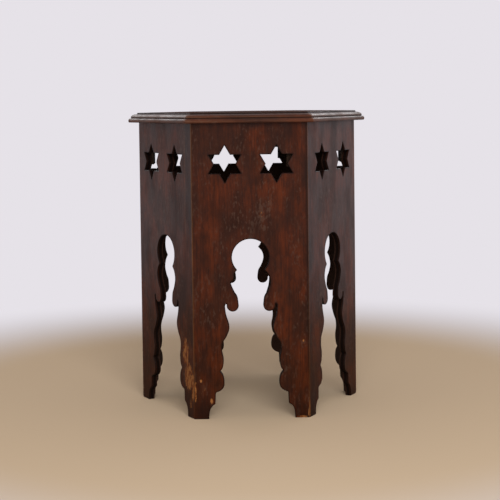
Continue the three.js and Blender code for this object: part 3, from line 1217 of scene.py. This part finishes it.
    def saw(self, board: bmesh.types.BMesh, limit: float, way: int) -> None:
        """Cuts the top along a glue line and closes the cut.

        Args:
            board: the part to cut.
            limit: where the cut runs.
            way: -1 drops what lies in front of the cut, 1 what lies behind it.
        """
        everything = [*board.verts, *board.edges, *board.faces]
        cut = bmesh.ops.bisect_plane(board, geom=everything, dist=self.CUT_TOUCH,
                                     plane_co=(0, limit, 0), plane_no=(0, way, 0), clear_outer=True)
        rim = [e for e in cut["geom_cut"] if isinstance(e, bmesh.types.BMEdge)]
        bmesh.ops.edgeloop_fill(board, edges=rim)
        bmesh.ops.recalc_face_normals(board, faces=board.faces)

    def mark(self, mesh: Mesh, apothem: float, place: int) -> None:
        """Writes what the finish reads.

        Args:
            mesh: one board in millimetres.
            apothem: how far the sides stand from the middle.
            place: which board it is.
        """
        places = np.array([v.co for v in mesh.vertices])
        angles = np.arctan2(places[:, 1], places[:, 0])
        turned = (angles % TURN) - HALF_TURN
        inset = apothem - np.hypot(places[:, 0], places[:, 1]) * np.cos(turned)
        depth = places[:, 2].max() - places[:, 2]
        # Masks for the painted shade in the field's step and in the groove.
        step = (depth > self.STEP_START) & (depth < self.field_step_depth + self.MARGIN)
        step &= inset > self.ovolo_head_inset - self.MARGIN
        groove = (np.abs(depth - self.groove_depth) < self.groove_reach) & (inset > self.ovolo_foot_inset)
        nose = np.exp(-((depth - self.bead_nose_depth) / self.nose_rub) ** 2)
        nose *= inset < self.bead_neck_inset
        crest = np.exp(-((inset - self.ovolo_foot_inset) / self.crest_rub) ** 2)
        crest *= depth < self.groove_depth
        below = depth > self.thickness - self.FACE_DEPTH
        below &= inset > self.bead_foot_inset + 2 * self.MARGIN
        angle = (angles + HALF_TURN) % TURN - HALF_TURN
        tip = np.exp(-(angle * apothem / self.tip_rub) ** 2) * (inset < self.field_inset)
        is_field = depth < self.FACE_DEPTH
        nothing = np.zeros(len(places))
        for name, values in {
            "wear": self.rub_share * np.clip(nose + crest + tip, 0, 1),
            # Painted shade: the field's step and the groove are darkened, as they lie in shade.
            "dark": self.painted_shade_share * np.maximum(step, self.groove_shade_share * groove),
            "matt": is_field.astype(float),
            "pale": nothing,
            "cut": nothing,
            "inside": below.astype(float),
            "scuff": self.tip_scuff * tip * (depth < self.bead_nose_depth + 2 * self.MARGIN),
        }.items():
            set_attribute(mesh, name, values)
        in_field = [all(is_field[i] for i in face.vertices) for face in mesh.polygons]
        mesh.polygons.foreach_set("material_index", in_field)
        along = np.column_stack([places[:, 1] + self.BOARD_STEP * place, places[:, 2], places[:, 0]])
        set_attribute(mesh, "grain", (along + self.GRAIN_SHIFT) * MM)


class Grain(Enum):
    """Which way the grain of an inner piece runs: the order in which its finish reads its axes."""

    UPRIGHT = (0, 1, 2)
    ALONG_SIDE = (2, 1, 0)


@dataclass(frozen=True)
class Carcass:
    """The glue blocks in the corners and the cleats under the top, of rough sawn softwood."""

    edge: float = 0.8
    edge_profile: float = 0.6
    edge_segments: int = 2
    flat_angle: float = 2.0
    sharp_angle: float = 40.0
    smooth_angle: float = 30.0

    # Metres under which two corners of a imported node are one.
    MERGE = 1e-5

    def dress(self, node: str, finish: Material, grain: Grain) -> None:
        """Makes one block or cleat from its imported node, with its corners merged and its edges eased.

        Args:
            node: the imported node's name.
            finish: the rough wood.
            grain: which way its grain runs.
        """
        source = frame["nodes"][node].data
        block = bmesh.new()
        block.from_mesh(source)
        bmesh.ops.remove_doubles(block, verts=block.verts, dist=self.MERGE)
        bmesh.ops.dissolve_limit(block, angle_limit=math.radians(self.flat_angle), verts=block.verts,
                                 edges=block.edges)
        limit = math.radians(self.sharp_angle)
        sharp = [edge for edge in block.edges if edge.is_manifold and edge.calc_face_angle() > limit]
        bmesh.ops.bevel(block, geom=sharp, offset=self.edge * MM, segments=self.edge_segments,
                        profile=self.edge_profile, affect="EDGES")
        bmesh.ops.recalc_face_normals(block, faces=block.faces)
        mesh = bpy.data.meshes.new(f"rough_{node}")
        block.to_mesh(mesh)
        block.free()
        places = np.array([v.co for v in mesh.vertices])
        middle = places.mean(axis=0)
        turn = math.atan2(middle[1], middle[0]) + math.pi / 2
        local = np.array([Matrix.Rotation(-turn, 3, "Z") @ Vector(p) for p in places])
        set_attribute(mesh, "grain", local[:, grain.value] + middle.sum())
        mesh.materials.append(finish)
        smooth(mesh, self.smooth_angle)
        put(mesh, f"rough_{node}", [node])

    def build(self, finish: Material) -> None:
        """Makes every block and cleat.

        Args:
            finish: the rough wood.
        """
        for place in range(1, SIDE_COUNT + 1):
            self.dress(f"corner_block_{place}", finish, Grain.UPRIGHT)
        for side in Side:
            self.dress(f"cleat_{side.label}", finish, Grain.ALONG_SIDE)


class ScrewRow(Enum):
    """What a row of screws holds: the top or the side boards."""

    TOP = "top"
    PANEL = "panel"


@dataclass(frozen=True)
class Screws:
    """Slotted countersunk steel wood screws, all eighteen placed by one Geometry Nodes tree."""

    head_radius: float = 3.9
    head_depth: float = 2.3
    shank_radius: float = 1.9
    tip_length: float = 3.0
    slot_width: float = 0.9
    slot_depth: float = 0.9
    head_facets: int = 24
    shank_facets: int = 12
    smooth_angle: float = 30.0
    seed: int = 7

    def nodes(self, row: ScrewRow) -> dict[str, Points]:
        """Names a row's packed screws.

        Args:
            row: what the screws hold.

        Returns:
            For each screw's name, the way that its tip points.
        """
        if row is ScrewRow.TOP:
            return {f"top_screw_{side.label}": np.array([0.0, 0.0, 1.0]) for side in Side}
        return {f"panel_screw_{side.label}_{i}": np.array(side.stand() @ Vector((0, -1, 0)))
                for side in Side for i in (1, 2)}

    def seat(self, node: str, way: Points) -> tuple[Points, float]:
        """Finds where a packed screw's head lies and how long the screw is.

        Args:
            node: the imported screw's name.
            way: the way that its tip points.

        Returns:
            The middle of the head's face, and the length.
        """
        corners = vertices_of(node)
        along = corners @ way
        low = along.min()
        face = corners[along < low + TOUCH].mean(axis=0)
        return face + way * (low - face @ way), float(along.max() - low)

    def tree(self) -> Tree:
        """Builds the tree that sets a screw on each point, turned to its direction.

        Returns:
            The tree.
        """
        tree, sizes = geometry_tree("slotted_screws", {
            "Head Radius": "Float", "Head Depth": "Float", "Shank Radius": "Float", "Length": "Float",
            "Tip Length": "Float", "Slot Width": "Float", "Slot Depth": "Float", "Seed": "Int",
            "Finish": "Material",
        })
        get = sizes.outputs
        shank = get["Shank Radius"]
        straight_part = add(tree, "ShaderNodeMath", {0: get["Length"], 1: get["Tip Length"]},
                            operation="SUBTRACT").outputs[0]
        head, stem, tip = (
            add(tree, "GeometryNodeMeshCone", {
                "Vertices": facets, "Radius Top": narrow, "Radius Bottom": wide, "Depth": depth,
            }).outputs[0]
            for facets, narrow, wide, depth in (
                (self.head_facets, shank, get["Head Radius"], get["Head Depth"]),
                (self.shank_facets, shank, shank, straight_part),
                (self.shank_facets, 0.0, shank, get["Tip Length"]),
            )
        )
        lift = add(tree, "ShaderNodeCombineXYZ", {"Z": straight_part})
        tip_up = add(tree, "GeometryNodeTransform", {"Geometry": tip, "Translation": lift.outputs[0]})
        whole = add(tree, "GeometryNodeMeshBoolean", {1: head}, operation="UNION", solver="EXACT")
        for part in (stem, tip_up.outputs[0]):
            tree.links.new(part, whole.inputs[1])
        # The slot's cutter is twice as long as the head is wide, and half of it stands out of the face.
        length = add(tree, "ShaderNodeMath", {0: get["Head Radius"], 1: 4.0}, operation="MULTIPLY")
        depth = add(tree, "ShaderNodeMath", {0: get["Slot Depth"], 1: 2.0}, operation="MULTIPLY")
        size = add(tree, "ShaderNodeCombineXYZ", {
            "X": length.outputs[0], "Y": get["Slot Width"], "Z": depth.outputs[0],
        })
        slot = add(tree, "GeometryNodeMeshCube", {"Size": size.outputs[0]})
        cut = add(tree, "GeometryNodeMeshBoolean", {0: whole.outputs[0], 1: slot.outputs[0]},
                  operation="DIFFERENCE", solver="EXACT")
        way = add(tree, "GeometryNodeInputNamedAttribute", {"Name": "way"}, data_type="FLOAT_VECTOR")
        aimed = add(tree, "FunctionNodeAlignRotationToVector", {"Vector": way.outputs[0]}, axis="Z")
        twist = add(tree, "FunctionNodeRandomValue", {2: 0.0, 3: math.pi, "Seed": get["Seed"]})
        spin = add(tree, "FunctionNodeAxisAngleToRotation", {"Axis": (0, 0, 1), "Angle": twist.outputs[1]})
        turned = add(tree, "FunctionNodeRotateRotation", {0: aimed.outputs[0], 1: spin.outputs[0]},
                     rotation_space="LOCAL")
        placed = add(tree, "GeometryNodeInstanceOnPoints", {
            "Points": get["Geometry"], "Instance": cut.outputs[0], "Rotation": turned.outputs[0],
        })
        end_tree(tree, placed.outputs[0], get["Finish"])
        return tree

    def build(self, finish: Material) -> None:
        """Makes the screws under the top and those into the side boards, one piece of each.

        Args:
            finish: the steel.
        """
        tree = self.tree()
        for row in ScrewRow:
            ways = self.nodes(row)
            seats = [self.seat(name, way) for name, way in ways.items()]
            start = bpy.data.meshes.new("screw_places")
            start.from_pydata([tuple(place * MM) for place, _ in seats], [], [])
            set_attribute(start, "way", np.array(list(ways.values())))
            mesh = grow(tree, {
                "Head Radius": self.head_radius * MM, "Head Depth": self.head_depth * MM,
                "Shank Radius": self.shank_radius * MM, "Length": seats[0][1] * MM,
                "Tip Length": self.tip_length * MM, "Slot Width": self.slot_width * MM,
                "Slot Depth": self.slot_depth * MM, "Seed": self.seed, "Finish": finish,
            }, start)
            smooth(mesh, self.smooth_angle)
            put(mesh, f"slotted_{row.value}_screws", list(ways))


@dataclass(frozen=True)
class Figure:
    """Marks in the wood or on its varnish, drawn out along the grain.

    Width and length are those of a real mark in millimetres. A mark begins to show where the noise
    passes `low`, shows fully from `high` on, and then lays on `strength` of its colour. Where
    `scuff_gain` is above 0, scuffs bring the marks out.
    """

    width: float
    length: float
    detail: float
    low: float = 0.0
    high: float = 1.0
    strength: float = 1.0
    scuff_gain: float = 0.0

    ROUGHNESS = 0.55

    def noise(self, tree: Tree, grain: Socket) -> Socket:
        """Adds noise of the marks' size.

        Args:
            tree: the material's tree.
            grain: the place in the board, in metres, with the grain along Z.

        Returns:
            The noise's output, from 0 to 1.
        """
        across, along = 1 / (self.width * MM), 1 / (self.length * MM)
        place = add(tree, "ShaderNodeVectorMath", {0: grain, 1: (across, across, along)},
                    operation="MULTIPLY")
        made = add(tree, "ShaderNodeTexNoise", {
            "Vector": place.outputs[0], "Scale": 1.0, "Detail": self.detail, "Roughness": self.ROUGHNESS,
        })
        return made.outputs[0]

    def draw(self, tree: Tree, grain: Socket, scuff: Socket | None = None) -> tuple[Socket, Socket]:
        """Adds the marks.

        Args:
            tree: the material's tree.
            grain: the place in the board, in metres, with the grain along Z.
            scuff: how scuffed a place is, for marks that scuffs bring out.

        Returns:
            The bare noise, and how strongly the marks show, from 0 to 1.
        """
        bare = self.noise(tree, grain)
        level = bare if scuff is None else add(tree, "ShaderNodeMath", {
            0: scuff, 1: self.scuff_gain, 2: bare,
        }, operation="MULTIPLY_ADD").outputs[0]
        shown = add(tree, "ShaderNodeMapRange", {
            "Value": level, "From Min": self.low, "From Max": self.high,
        }, interpolation_type="SMOOTHSTEP")
        return bare, shown.outputs[0]


@dataclass(frozen=True)
class Varnished:
    """Hardwood stained dark red-brown under thin, rubbed varnish; old scuffs show the paler wood.

    The stain sits deeper in the open grain, so fine dark streaks run along the board between
    warmer ones, the varnish is crazed into small cloudy specks, and it gives a soft sheen at low
    angles.
    """

    name: str
    deep: str
    middle: str
    warm: str
    rubbed: str
    sawn: str
    raw: str
    crazed: str = "#594438"
    roughness: float = 0.34
    clear_gain: float = -0.06
    cloudy_gain: float = 0.1
    dull_roughness: float = 0.9
    specular: float = 0.13
    arris_share: float = 0.12
    # How strongly the pale lines show; along the mitre corners they are partly a painted highlight.
    line_share: float = 0.6
    relief: float = 0.5
    relief_strength: float = 0.35
    wander_reach: float = 12.0

    wander: Figure = Figure(60, 160, 1)
    patches: Figure = Figure(44, 80, 2, 0.36, 0.64)
    clouds: Figure = Figure(30, 70, 3, 0.4, 0.68, 0.38)
    bands: Figure = Figure(26, 420, 2, 0.36, 0.64, 0.3)
    mottle: Figure = Figure(8, 20, 4, 0.46, 0.62, 0.36)
    streaks: Figure = Figure(3.2, 95, 3, 0.42, 0.66, 0.4)
    # Pores are 0.2 to 0.3 mm wide, far finer than the render shows, so the fibres that stand for
    # them are drawn 1.1 mm wide.
    fibres: Figure = Figure(1.1, 26, 2, 0.45, 0.7, 0.4)
    # The cells of crazed varnish are about 1 mm wide. They are drawn 4 mm wide, so that they show.
    crazing: Figure = Figure(4, 9, 4, 0.52, 0.66, 0.4, 0.25)
    clusters: Figure = Figure(40, 110, 2, 0.4, 0.62)
    flecks: tuple[Figure, ...] = (
        Figure(3.4, 11, 3, 1.13, 1.24, 0.8, 1.0), Figure(1.7, 5, 3, 1.16, 1.26, 0.8, 1.0),
    )
    shade: Figure = Figure(4, 10, 2, 0.36, 0.6)
    rub_range: tuple[float, float] = (0.3, 0.6)
    bare_range: tuple[float, float] = (0.9, 1.15)

    READ = ("grain", "wear", "cut", "inside", "scuff", "dark", "pale", "matt")

    def make(self) -> Material:
        """Builds the material.

        Returns:
            The material.
        """
        material, tree = new_material(self.name)
        read = {name: add(tree, "ShaderNodeAttribute", attribute_name=name).outputs for name in self.READ}
        straight = read["grain"]["Vector"]
        amount = {name: outputs["Fac"] for name, outputs in read.items()}
        push = add(tree, "ShaderNodeVectorMath", {
            0: self.wander.noise(tree, straight), 1: (self.wander_reach * MM, self.wander_reach * MM, 0),
        }, operation="MULTIPLY")
        wavy = add(tree, "ShaderNodeVectorMath", {0: straight, 1: push.outputs[0]}).outputs[0]
        streak_noise, streaks = self.streaks.draw(tree, wavy)
        fibre_noise, fibres = self.fibres.draw(tree, wavy)
        rub_line, bare = (
            add(tree, "ShaderNodeMapRange", {"Value": value, "From Min": low, "From Max": high},
                interpolation_type="SMOOTHSTEP").outputs[0]
            for value, (low, high) in ((streak_noise, self.rub_range), (amount["scuff"], self.bare_range))
        )
        scuffed = self.varnish_off(tree, straight, amount["scuff"], bare)
        clouds = self.clouds.draw(tree, straight)[1]
        deep, warm, rubbed, sawn = (linear(c) for c in (self.deep, self.warm, self.rubbed, self.sawn))
        worn = coat(tree, warm, [(rubbed, self.shade.draw(tree, straight)[1]), (rubbed, bare)])
        colour = coat(tree, linear(self.middle), [
            (warm, self.patches.draw(tree, straight)[1]),
            (deep, clouds, self.clouds.strength),
            (deep, self.bands.draw(tree, wavy)[1], self.bands.strength),
            (deep, self.mottle.draw(tree, straight)[1], self.mottle.strength),
            (deep, streaks, self.streaks.strength),
            (deep, fibres, self.fibres.strength),
            (linear(self.crazed), self.crazing.draw(tree, straight, amount["scuff"])[1],
             self.crazing.strength, self.clusters.draw(tree, straight)[1]),
            # Rubbed colour on arrises and pale lines: partly wear, partly a painted highlight along the
            # mitre corners.
            (rubbed, amount["wear"], rub_line, self.arris_share),
            (rubbed, amount["pale"], self.line_share),
            # The dark mask: dirt and dark joints, darkening towards the foot, and painted shade in the
            # top's step and groove.
            (sawn, amount["dark"]),
            (worn, scuffed),
            (sawn, amount["cut"]),
            (linear(self.raw), amount["inside"]),
        ])
        dull = scuffed
        for name in ("inside", "cut", "matt"):
            dull = add(tree, "ShaderNodeMath", {0: dull, 1: amount[name]}, operation="MAXIMUM").outputs[0]
        gloss = add(tree, "ShaderNodeMapRange", {
            "Value": clouds, "To Min": self.roughness + self.clear_gain,
            "To Max": self.roughness + self.cloudy_gain,
        })
        rough = add(tree, "ShaderNodeMix", {0: dull, 2: gloss.outputs[0], 3: self.dull_roughness},
                    data_type="FLOAT")
        height = add(tree, "ShaderNodeMath", {0: fibre_noise, 1: streak_noise}, operation="ADD")
        bump = add(tree, "ShaderNodeBump", {
            "Height": height.outputs[0], "Strength": self.relief_strength, "Distance": self.relief * MM,
        })
        shader = add(tree, "ShaderNodeBsdfPrincipled", {
            "Base Color": colour, "Roughness": rough.outputs[0], "Normal": bump.outputs[0],
            "Specular IOR Level": self.specular,
        })
        add(tree, "ShaderNodeOutputMaterial", {"Surface": shader.outputs[0]})
        return material

    def varnish_off(self, tree: Tree, grain: Socket, scuff: Socket, bare: Socket) -> Socket:
        """Finds where the varnish is off: in chips and flecks, and all over where wood is bare.

        Args:
            tree: the material's tree.
            grain: the place in the board.
            scuff: how scuffed a place is.
            bare: how bare it is.

        Returns:
            How much of the varnish is off, from 0 to 1.
        """
        off = bare
        for flecks in self.flecks:
            chips = add(tree, "ShaderNodeMath", {
                0: flecks.draw(tree, grain, scuff)[1], 1: flecks.strength,
            }, operation="MULTIPLY")
            off = add(tree, "ShaderNodeMath", {0: chips.outputs[0], 1: off}, operation="MAXIMUM").outputs[0]
        return off


# The side boards: a deep red-brown, under a varnish that turns greyish at a grazing angle.
SIDE_FINISH = Varnished(
    "stained_hardwood_thin_varnish", deep="#24120c", middle="#3f1e0f", warm="#5c270d",
    rubbed="#9a6538", sawn="#120906", raw="#33231c",
)
# The moulding: cooler and rubbed by hands, so its rounds catch broad, soft, greyish lights.
# Its sawn colour also paints the shade in the field's step and the moulding's groove.
TOP_FINISH = Varnished(
    "stained_hardwood_rubbed_varnish", deep="#28150e", middle="#3d1e10", warm="#542814",
    rubbed="#8a5a3c", sawn="#150c08", raw="#33231c", roughness=0.5, specular=0.22, arris_share=0.3,
)
# The flat field: rubbed dry by what stood on it, so it stays dull and dark even at a grazing angle.
TOP_FIELD_FINISH = replace(TOP_FINISH, name="stained_hardwood_dry_rubbed", specular=0.03)


@dataclass(frozen=True)
class RoughSawn:
    """Softwood straight from the saw, darkened by age: matt, with broad soft grain and saw marks."""

    name: str = "aged_softwood_rough_sawn"
    pale: str = "#33251a"
    dark: str = "#1c130d"
    ring_width: float = 5.0
    ring_length: float = 60.0
    ring_detail: float = 3.0
    ring_low: float = 0.35
    ring_high: float = 0.65
    saw_mark: float = 2.5
    saw_waver: float = 1.5
    relief: float = 0.4
    relief_strength: float = 0.5
    roughness: float = 0.85
    specular: float = 0.25

    def make(self) -> Material:
        """Builds the material.

        Returns:
            The material.
        """
        material, tree = new_material(self.name)
        place = add(tree, "ShaderNodeAttribute", attribute_name="grain").outputs["Vector"]
        across, along = 1 / (self.ring_width * MM), 1 / (self.ring_length * MM)
        grain = add(tree, "ShaderNodeVectorMath", {0: place, 1: (across, across, along)},
                    operation="MULTIPLY")
        rings = add(tree, "ShaderNodeTexNoise", {
            "Vector": grain.outputs[0], "Scale": 1.0, "Detail": self.ring_detail,
        })
        shown = add(tree, "ShaderNodeMapRange", {
            "Value": rings.outputs[0], "From Min": self.ring_low, "From Max": self.ring_high,
        })
        colour = coat(tree, linear(self.pale), [(linear(self.dark), shown.outputs[0])])
        marks = add(tree, "ShaderNodeTexWave", {
            "Vector": place, "Scale": 1 / (self.saw_mark * MM) / (2 * math.pi),
            "Distortion": self.saw_waver,
        }, bands_direction="Z")
        bump = add(tree, "ShaderNodeBump", {
            "Height": marks.outputs["Fac"], "Strength": self.relief_strength, "Distance": self.relief * MM,
        })
        shader = add(tree, "ShaderNodeBsdfPrincipled", {
            "Base Color": colour, "Roughness": self.roughness, "Specular IOR Level": self.specular,
            "Normal": bump.outputs[0],
        })
        add(tree, "ShaderNodeOutputMaterial", {"Surface": shader.outputs[0]})
        return material


@dataclass(frozen=True)
class DullSteel:
    """Bright drawn steel gone dull: grey metal with brown rust spots and a broken shine."""

    name: str = "drawn_steel_dulled"
    metal: str = "#8d8983"
    rust: str = "#4b2f1e"
    spot: float = 1.6
    spot_detail: float = 3.0
    spot_low: float = 0.48
    spot_high: float = 0.66
    # Each from clean metal to rust.
    roughness: tuple[float, float] = (0.4, 0.85)
    metallic: tuple[float, float] = (1.0, 0.2)

    def make(self) -> Material:
        """Builds the material.

        Returns:
            The material.
        """
        material, tree = new_material(self.name)
        place = add(tree, "ShaderNodeTexCoord").outputs["Object"]
        spots = add(tree, "ShaderNodeTexNoise", {
            "Vector": place, "Scale": 1 / (self.spot * MM), "Detail": self.spot_detail,
        })
        rusty = add(tree, "ShaderNodeMapRange", {
            "Value": spots.outputs[0], "From Min": self.spot_low, "From Max": self.spot_high,
        }).outputs[0]
        rough, shine = (
            add(tree, "ShaderNodeMapRange", {"Value": rusty, "To Min": clean, "To Max": rusted}).outputs[0]
            for clean, rusted in (self.roughness, self.metallic)
        )
        shader = add(tree, "ShaderNodeBsdfPrincipled", {
            "Base Color": coat(tree, linear(self.metal), [(linear(self.rust), rusty)]),
            "Roughness": rough, "Metallic": shine,
        })
        add(tree, "ShaderNodeOutputMaterial", {"Surface": shader.outputs[0]})
        return material


@dataclass(frozen=True)
class Lamp:
    """A round soft lamp, in metres, that only gives reflections or only lights the surfaces."""

    name: str
    place: tuple[float, float, float]
    size: float
    power: float
    is_mirrored: bool


@dataclass
class Studio:
    """Plain pale floor and backdrop, soft light, and the camera at the photograph's angle.

    The floor and the lamps are in metres, the camera's place is in millimetres.
    """

    frame_pixels: float = 500.0
    focal_pixels: float = 1223.0
    sensor: float = 36.0
    camera_place: tuple[float, float, float] = (-52.2, -2380.0, 579.3)
    pan: float = 1.34
    pitch: float = 6.93
    roll: float = -0.69
    backdrop: str = "#e6e2e8"
    floor_near: str = "#e6cdae"
    floor_radius: float = 6.0
    floor_sides: int = 96
    floor_roughness: float = 0.9
    floor_specular: float = 0.1
    fade_start: float = 0.58
    fade_end: float = 1.25
    mirrored_reach: float = 0.62
    mirrored_slant: float = 0.15
    mirrored_loss: float = 0.6
    sky: float = 0.37
    sky_colour: str = "#fff6ee"
    right_gain: float = 0.4
    aim: tuple[float, float, float] = (0.0, 0.0, 0.3)
    lamps: tuple[Lamp, ...] = (
        Lamp("key", (0.3, -2.9, 1.6), 2.2, 58.0, False),
        Lamp("left_kicker", (-1.7, 1.7, 2.3), 1.6, 60.0, True),
        Lamp("right_kicker", (1.7, 1.7, 2.3), 1.6, 62.0, True),
    )

    def camera(self) -> None:
        """Sets the camera where the photograph was taken from."""
        pan, pitch, roll = (math.radians(a) for a in (self.pan, self.pitch, self.roll))
        ahead = Vector((math.sin(pan) * math.cos(pitch), math.cos(pan) * math.cos(pitch), -math.sin(pitch)))
        right = Vector((math.cos(pan), -math.sin(pan), 0))
        up = right.cross(ahead)
        lean = math.cos(roll), math.sin(roll)
        right, up = right * lean[0] + up * lean[1], up * lean[0] - right * lean[1]
        data = bpy.data.cameras.new("camera")
        data.sensor_width = self.sensor
        data.lens = self.focal_pixels / self.frame_pixels * self.sensor
        made = bpy.data.objects.new("camera", data)
        turn = Matrix((right, up, -ahead)).transposed().to_4x4()
        made.matrix_world = Matrix.Translation(Vector(self.camera_place) * MM) @ turn
        bpy.context.scene.collection.objects.link(made)
        bpy.context.scene.camera = made

    def floor(self) -> None:
        """Lays a round floor, warm and pale near the table and fading into the backdrop."""
        disc = bmesh.new()
        bmesh.ops.create_circle(disc, cap_ends=True, segments=self.floor_sides, radius=self.floor_radius)
        mesh = bpy.data.meshes.new("floor")
        disc.to_mesh(mesh)
        disc.free()
        material, tree = new_material("matt_floor")
        place = add(tree, "ShaderNodeTexCoord").outputs["Object"]
        reach = add(tree, "ShaderNodeVectorMath", {0: place}, operation="LENGTH").outputs["Value"]
        # In what the varnish mirrors, the floor is darker and reaches further out, less so to the right.
        mirrored = add(tree, "ShaderNodeLightPath").outputs["Is Glossy Ray"]
        slant = add(tree, "ShaderNodeVectorMath", {0: place, 1: (self.mirrored_slant, 0, 0)},
                    operation="DOT_PRODUCT").outputs["Value"]
        gain = add(tree, "ShaderNodeMath", {0: slant, 1: self.mirrored_reach}, operation="SUBTRACT")
        reach = add(tree, "ShaderNodeMath", {0: mirrored, 1: gain.outputs[0], 2: reach},
                    operation="MULTIPLY_ADD")
        fade = add(tree, "ShaderNodeMapRange", {
            "Value": reach.outputs[0], "From Min": self.fade_start, "From Max": self.fade_end,
        }, interpolation_type="SMOOTHSTEP").outputs[0]
        colour = coat(tree, linear(self.floor_near), [
            (linear(self.backdrop), fade), (linear("#000000"), mirrored, self.mirrored_loss),
        ])
        shader = add(tree, "ShaderNodeBsdfPrincipled", {
            "Base Color": colour, "Roughness": self.floor_roughness,
            "Specular IOR Level": self.floor_specular,
        })
        far = add(tree, "ShaderNodeEmission", {"Color": linear(self.backdrop)})
        both = add(tree, "ShaderNodeMixShader", {0: fade, 1: shader.outputs[0], 2: far.outputs[0]})
        add(tree, "ShaderNodeOutputMaterial", {"Surface": both.outputs[0]})
        mesh.materials.append(material)
        made = bpy.data.objects.new("floor", mesh)
        bpy.context.scene.collection.objects.link(made)

    def world(self) -> None:
        """Lights the scene evenly, and shows the backdrop's own colour beyond the floor."""
        world = bpy.data.worlds.new("studio")
        bpy.context.scene.world = world
        world.use_nodes = True
        tree = world.node_tree
        tree.nodes.clear()
        path = add(tree, "ShaderNodeLightPath").outputs
        seen = path["Is Camera Ray"]
        for kind in ("Is Glossy Ray", "Is Transmission Ray"):
            seen = add(tree, "ShaderNodeMath", {0: seen, 1: path[kind]}, operation="MAXIMUM").outputs[0]
        plain = add(tree, "ShaderNodeBackground", {"Color": linear(self.sky_colour), "Strength": self.sky})
        direction = add(tree, "ShaderNodeTexCoord").outputs["Generated"]
        to_right = add(tree, "ShaderNodeSeparateXYZ", {0: direction}).outputs["X"]
        gain = add(tree, "ShaderNodeMapRange", {"Value": to_right, "To Max": self.right_gain}).outputs[0]
        gain = add(tree, "ShaderNodeMath", {0: path["Is Glossy Ray"], 1: gain, 2: 1.0},
                   operation="MULTIPLY_ADD").outputs[0]
        backdrop = add(tree, "ShaderNodeBackground", {"Color": linear(self.backdrop), "Strength": gain})
        both = add(tree, "ShaderNodeMixShader", {0: seen, 1: plain.outputs[0], 2: backdrop.outputs[0]})
        add(tree, "ShaderNodeOutputWorld", {"Surface": both.outputs[0]})

    def hang(self, lamp: Lamp) -> None:
        """Hangs a lamp and turns it to the table.

        Args:
            lamp: the lamp to hang.
        """
        data = bpy.data.lights.new(lamp.name, "AREA")
        data.shape, data.size, data.energy = "DISK", lamp.size, lamp.power
        made = bpy.data.objects.new(lamp.name, data)
        place = Vector(lamp.place)
        turn = (Vector(self.aim) - place).to_track_quat("-Z", "Y").to_matrix().to_4x4()
        made.matrix_world = Matrix.Translation(place) @ turn
        made.visible_camera = False
        made.visible_glossy, made.visible_diffuse = lamp.is_mirrored, not lamp.is_mirrored
        bpy.context.scene.collection.objects.link(made)

    def build(self) -> None:
        """Sets up the whole studio."""
        self.camera()
        self.floor()
        self.world()
        for lamp in self.lamps:
            self.hang(lamp)
        bpy.context.scene.view_settings.view_transform = "Standard"


def main() -> None:
    """Builds the studio, then the table piece by piece."""
    logging.basicConfig(level=logging.INFO, format="%(message)s")
    Studio().build()
    body = Body.from_frame()
    LOG.info("body: %s", body)
    arch = Arch()
    stars = Stars()
    star_tree = stars.tree()
    side_finish = SIDE_FINISH.make()
    for side in Side:
        outlines = stars.outlines(star_tree, body.head, side.star_drift, side_finish)
        SideBoard(side, body, arch, outlines).build(side_finish)
    Top().build(TOP_FINISH.make(), TOP_FIELD_FINISH.make())
    Carcass().build(RoughSawn().make())
    Screws().build(DullSteel().make())


if __name__ == "__main__":
    main()
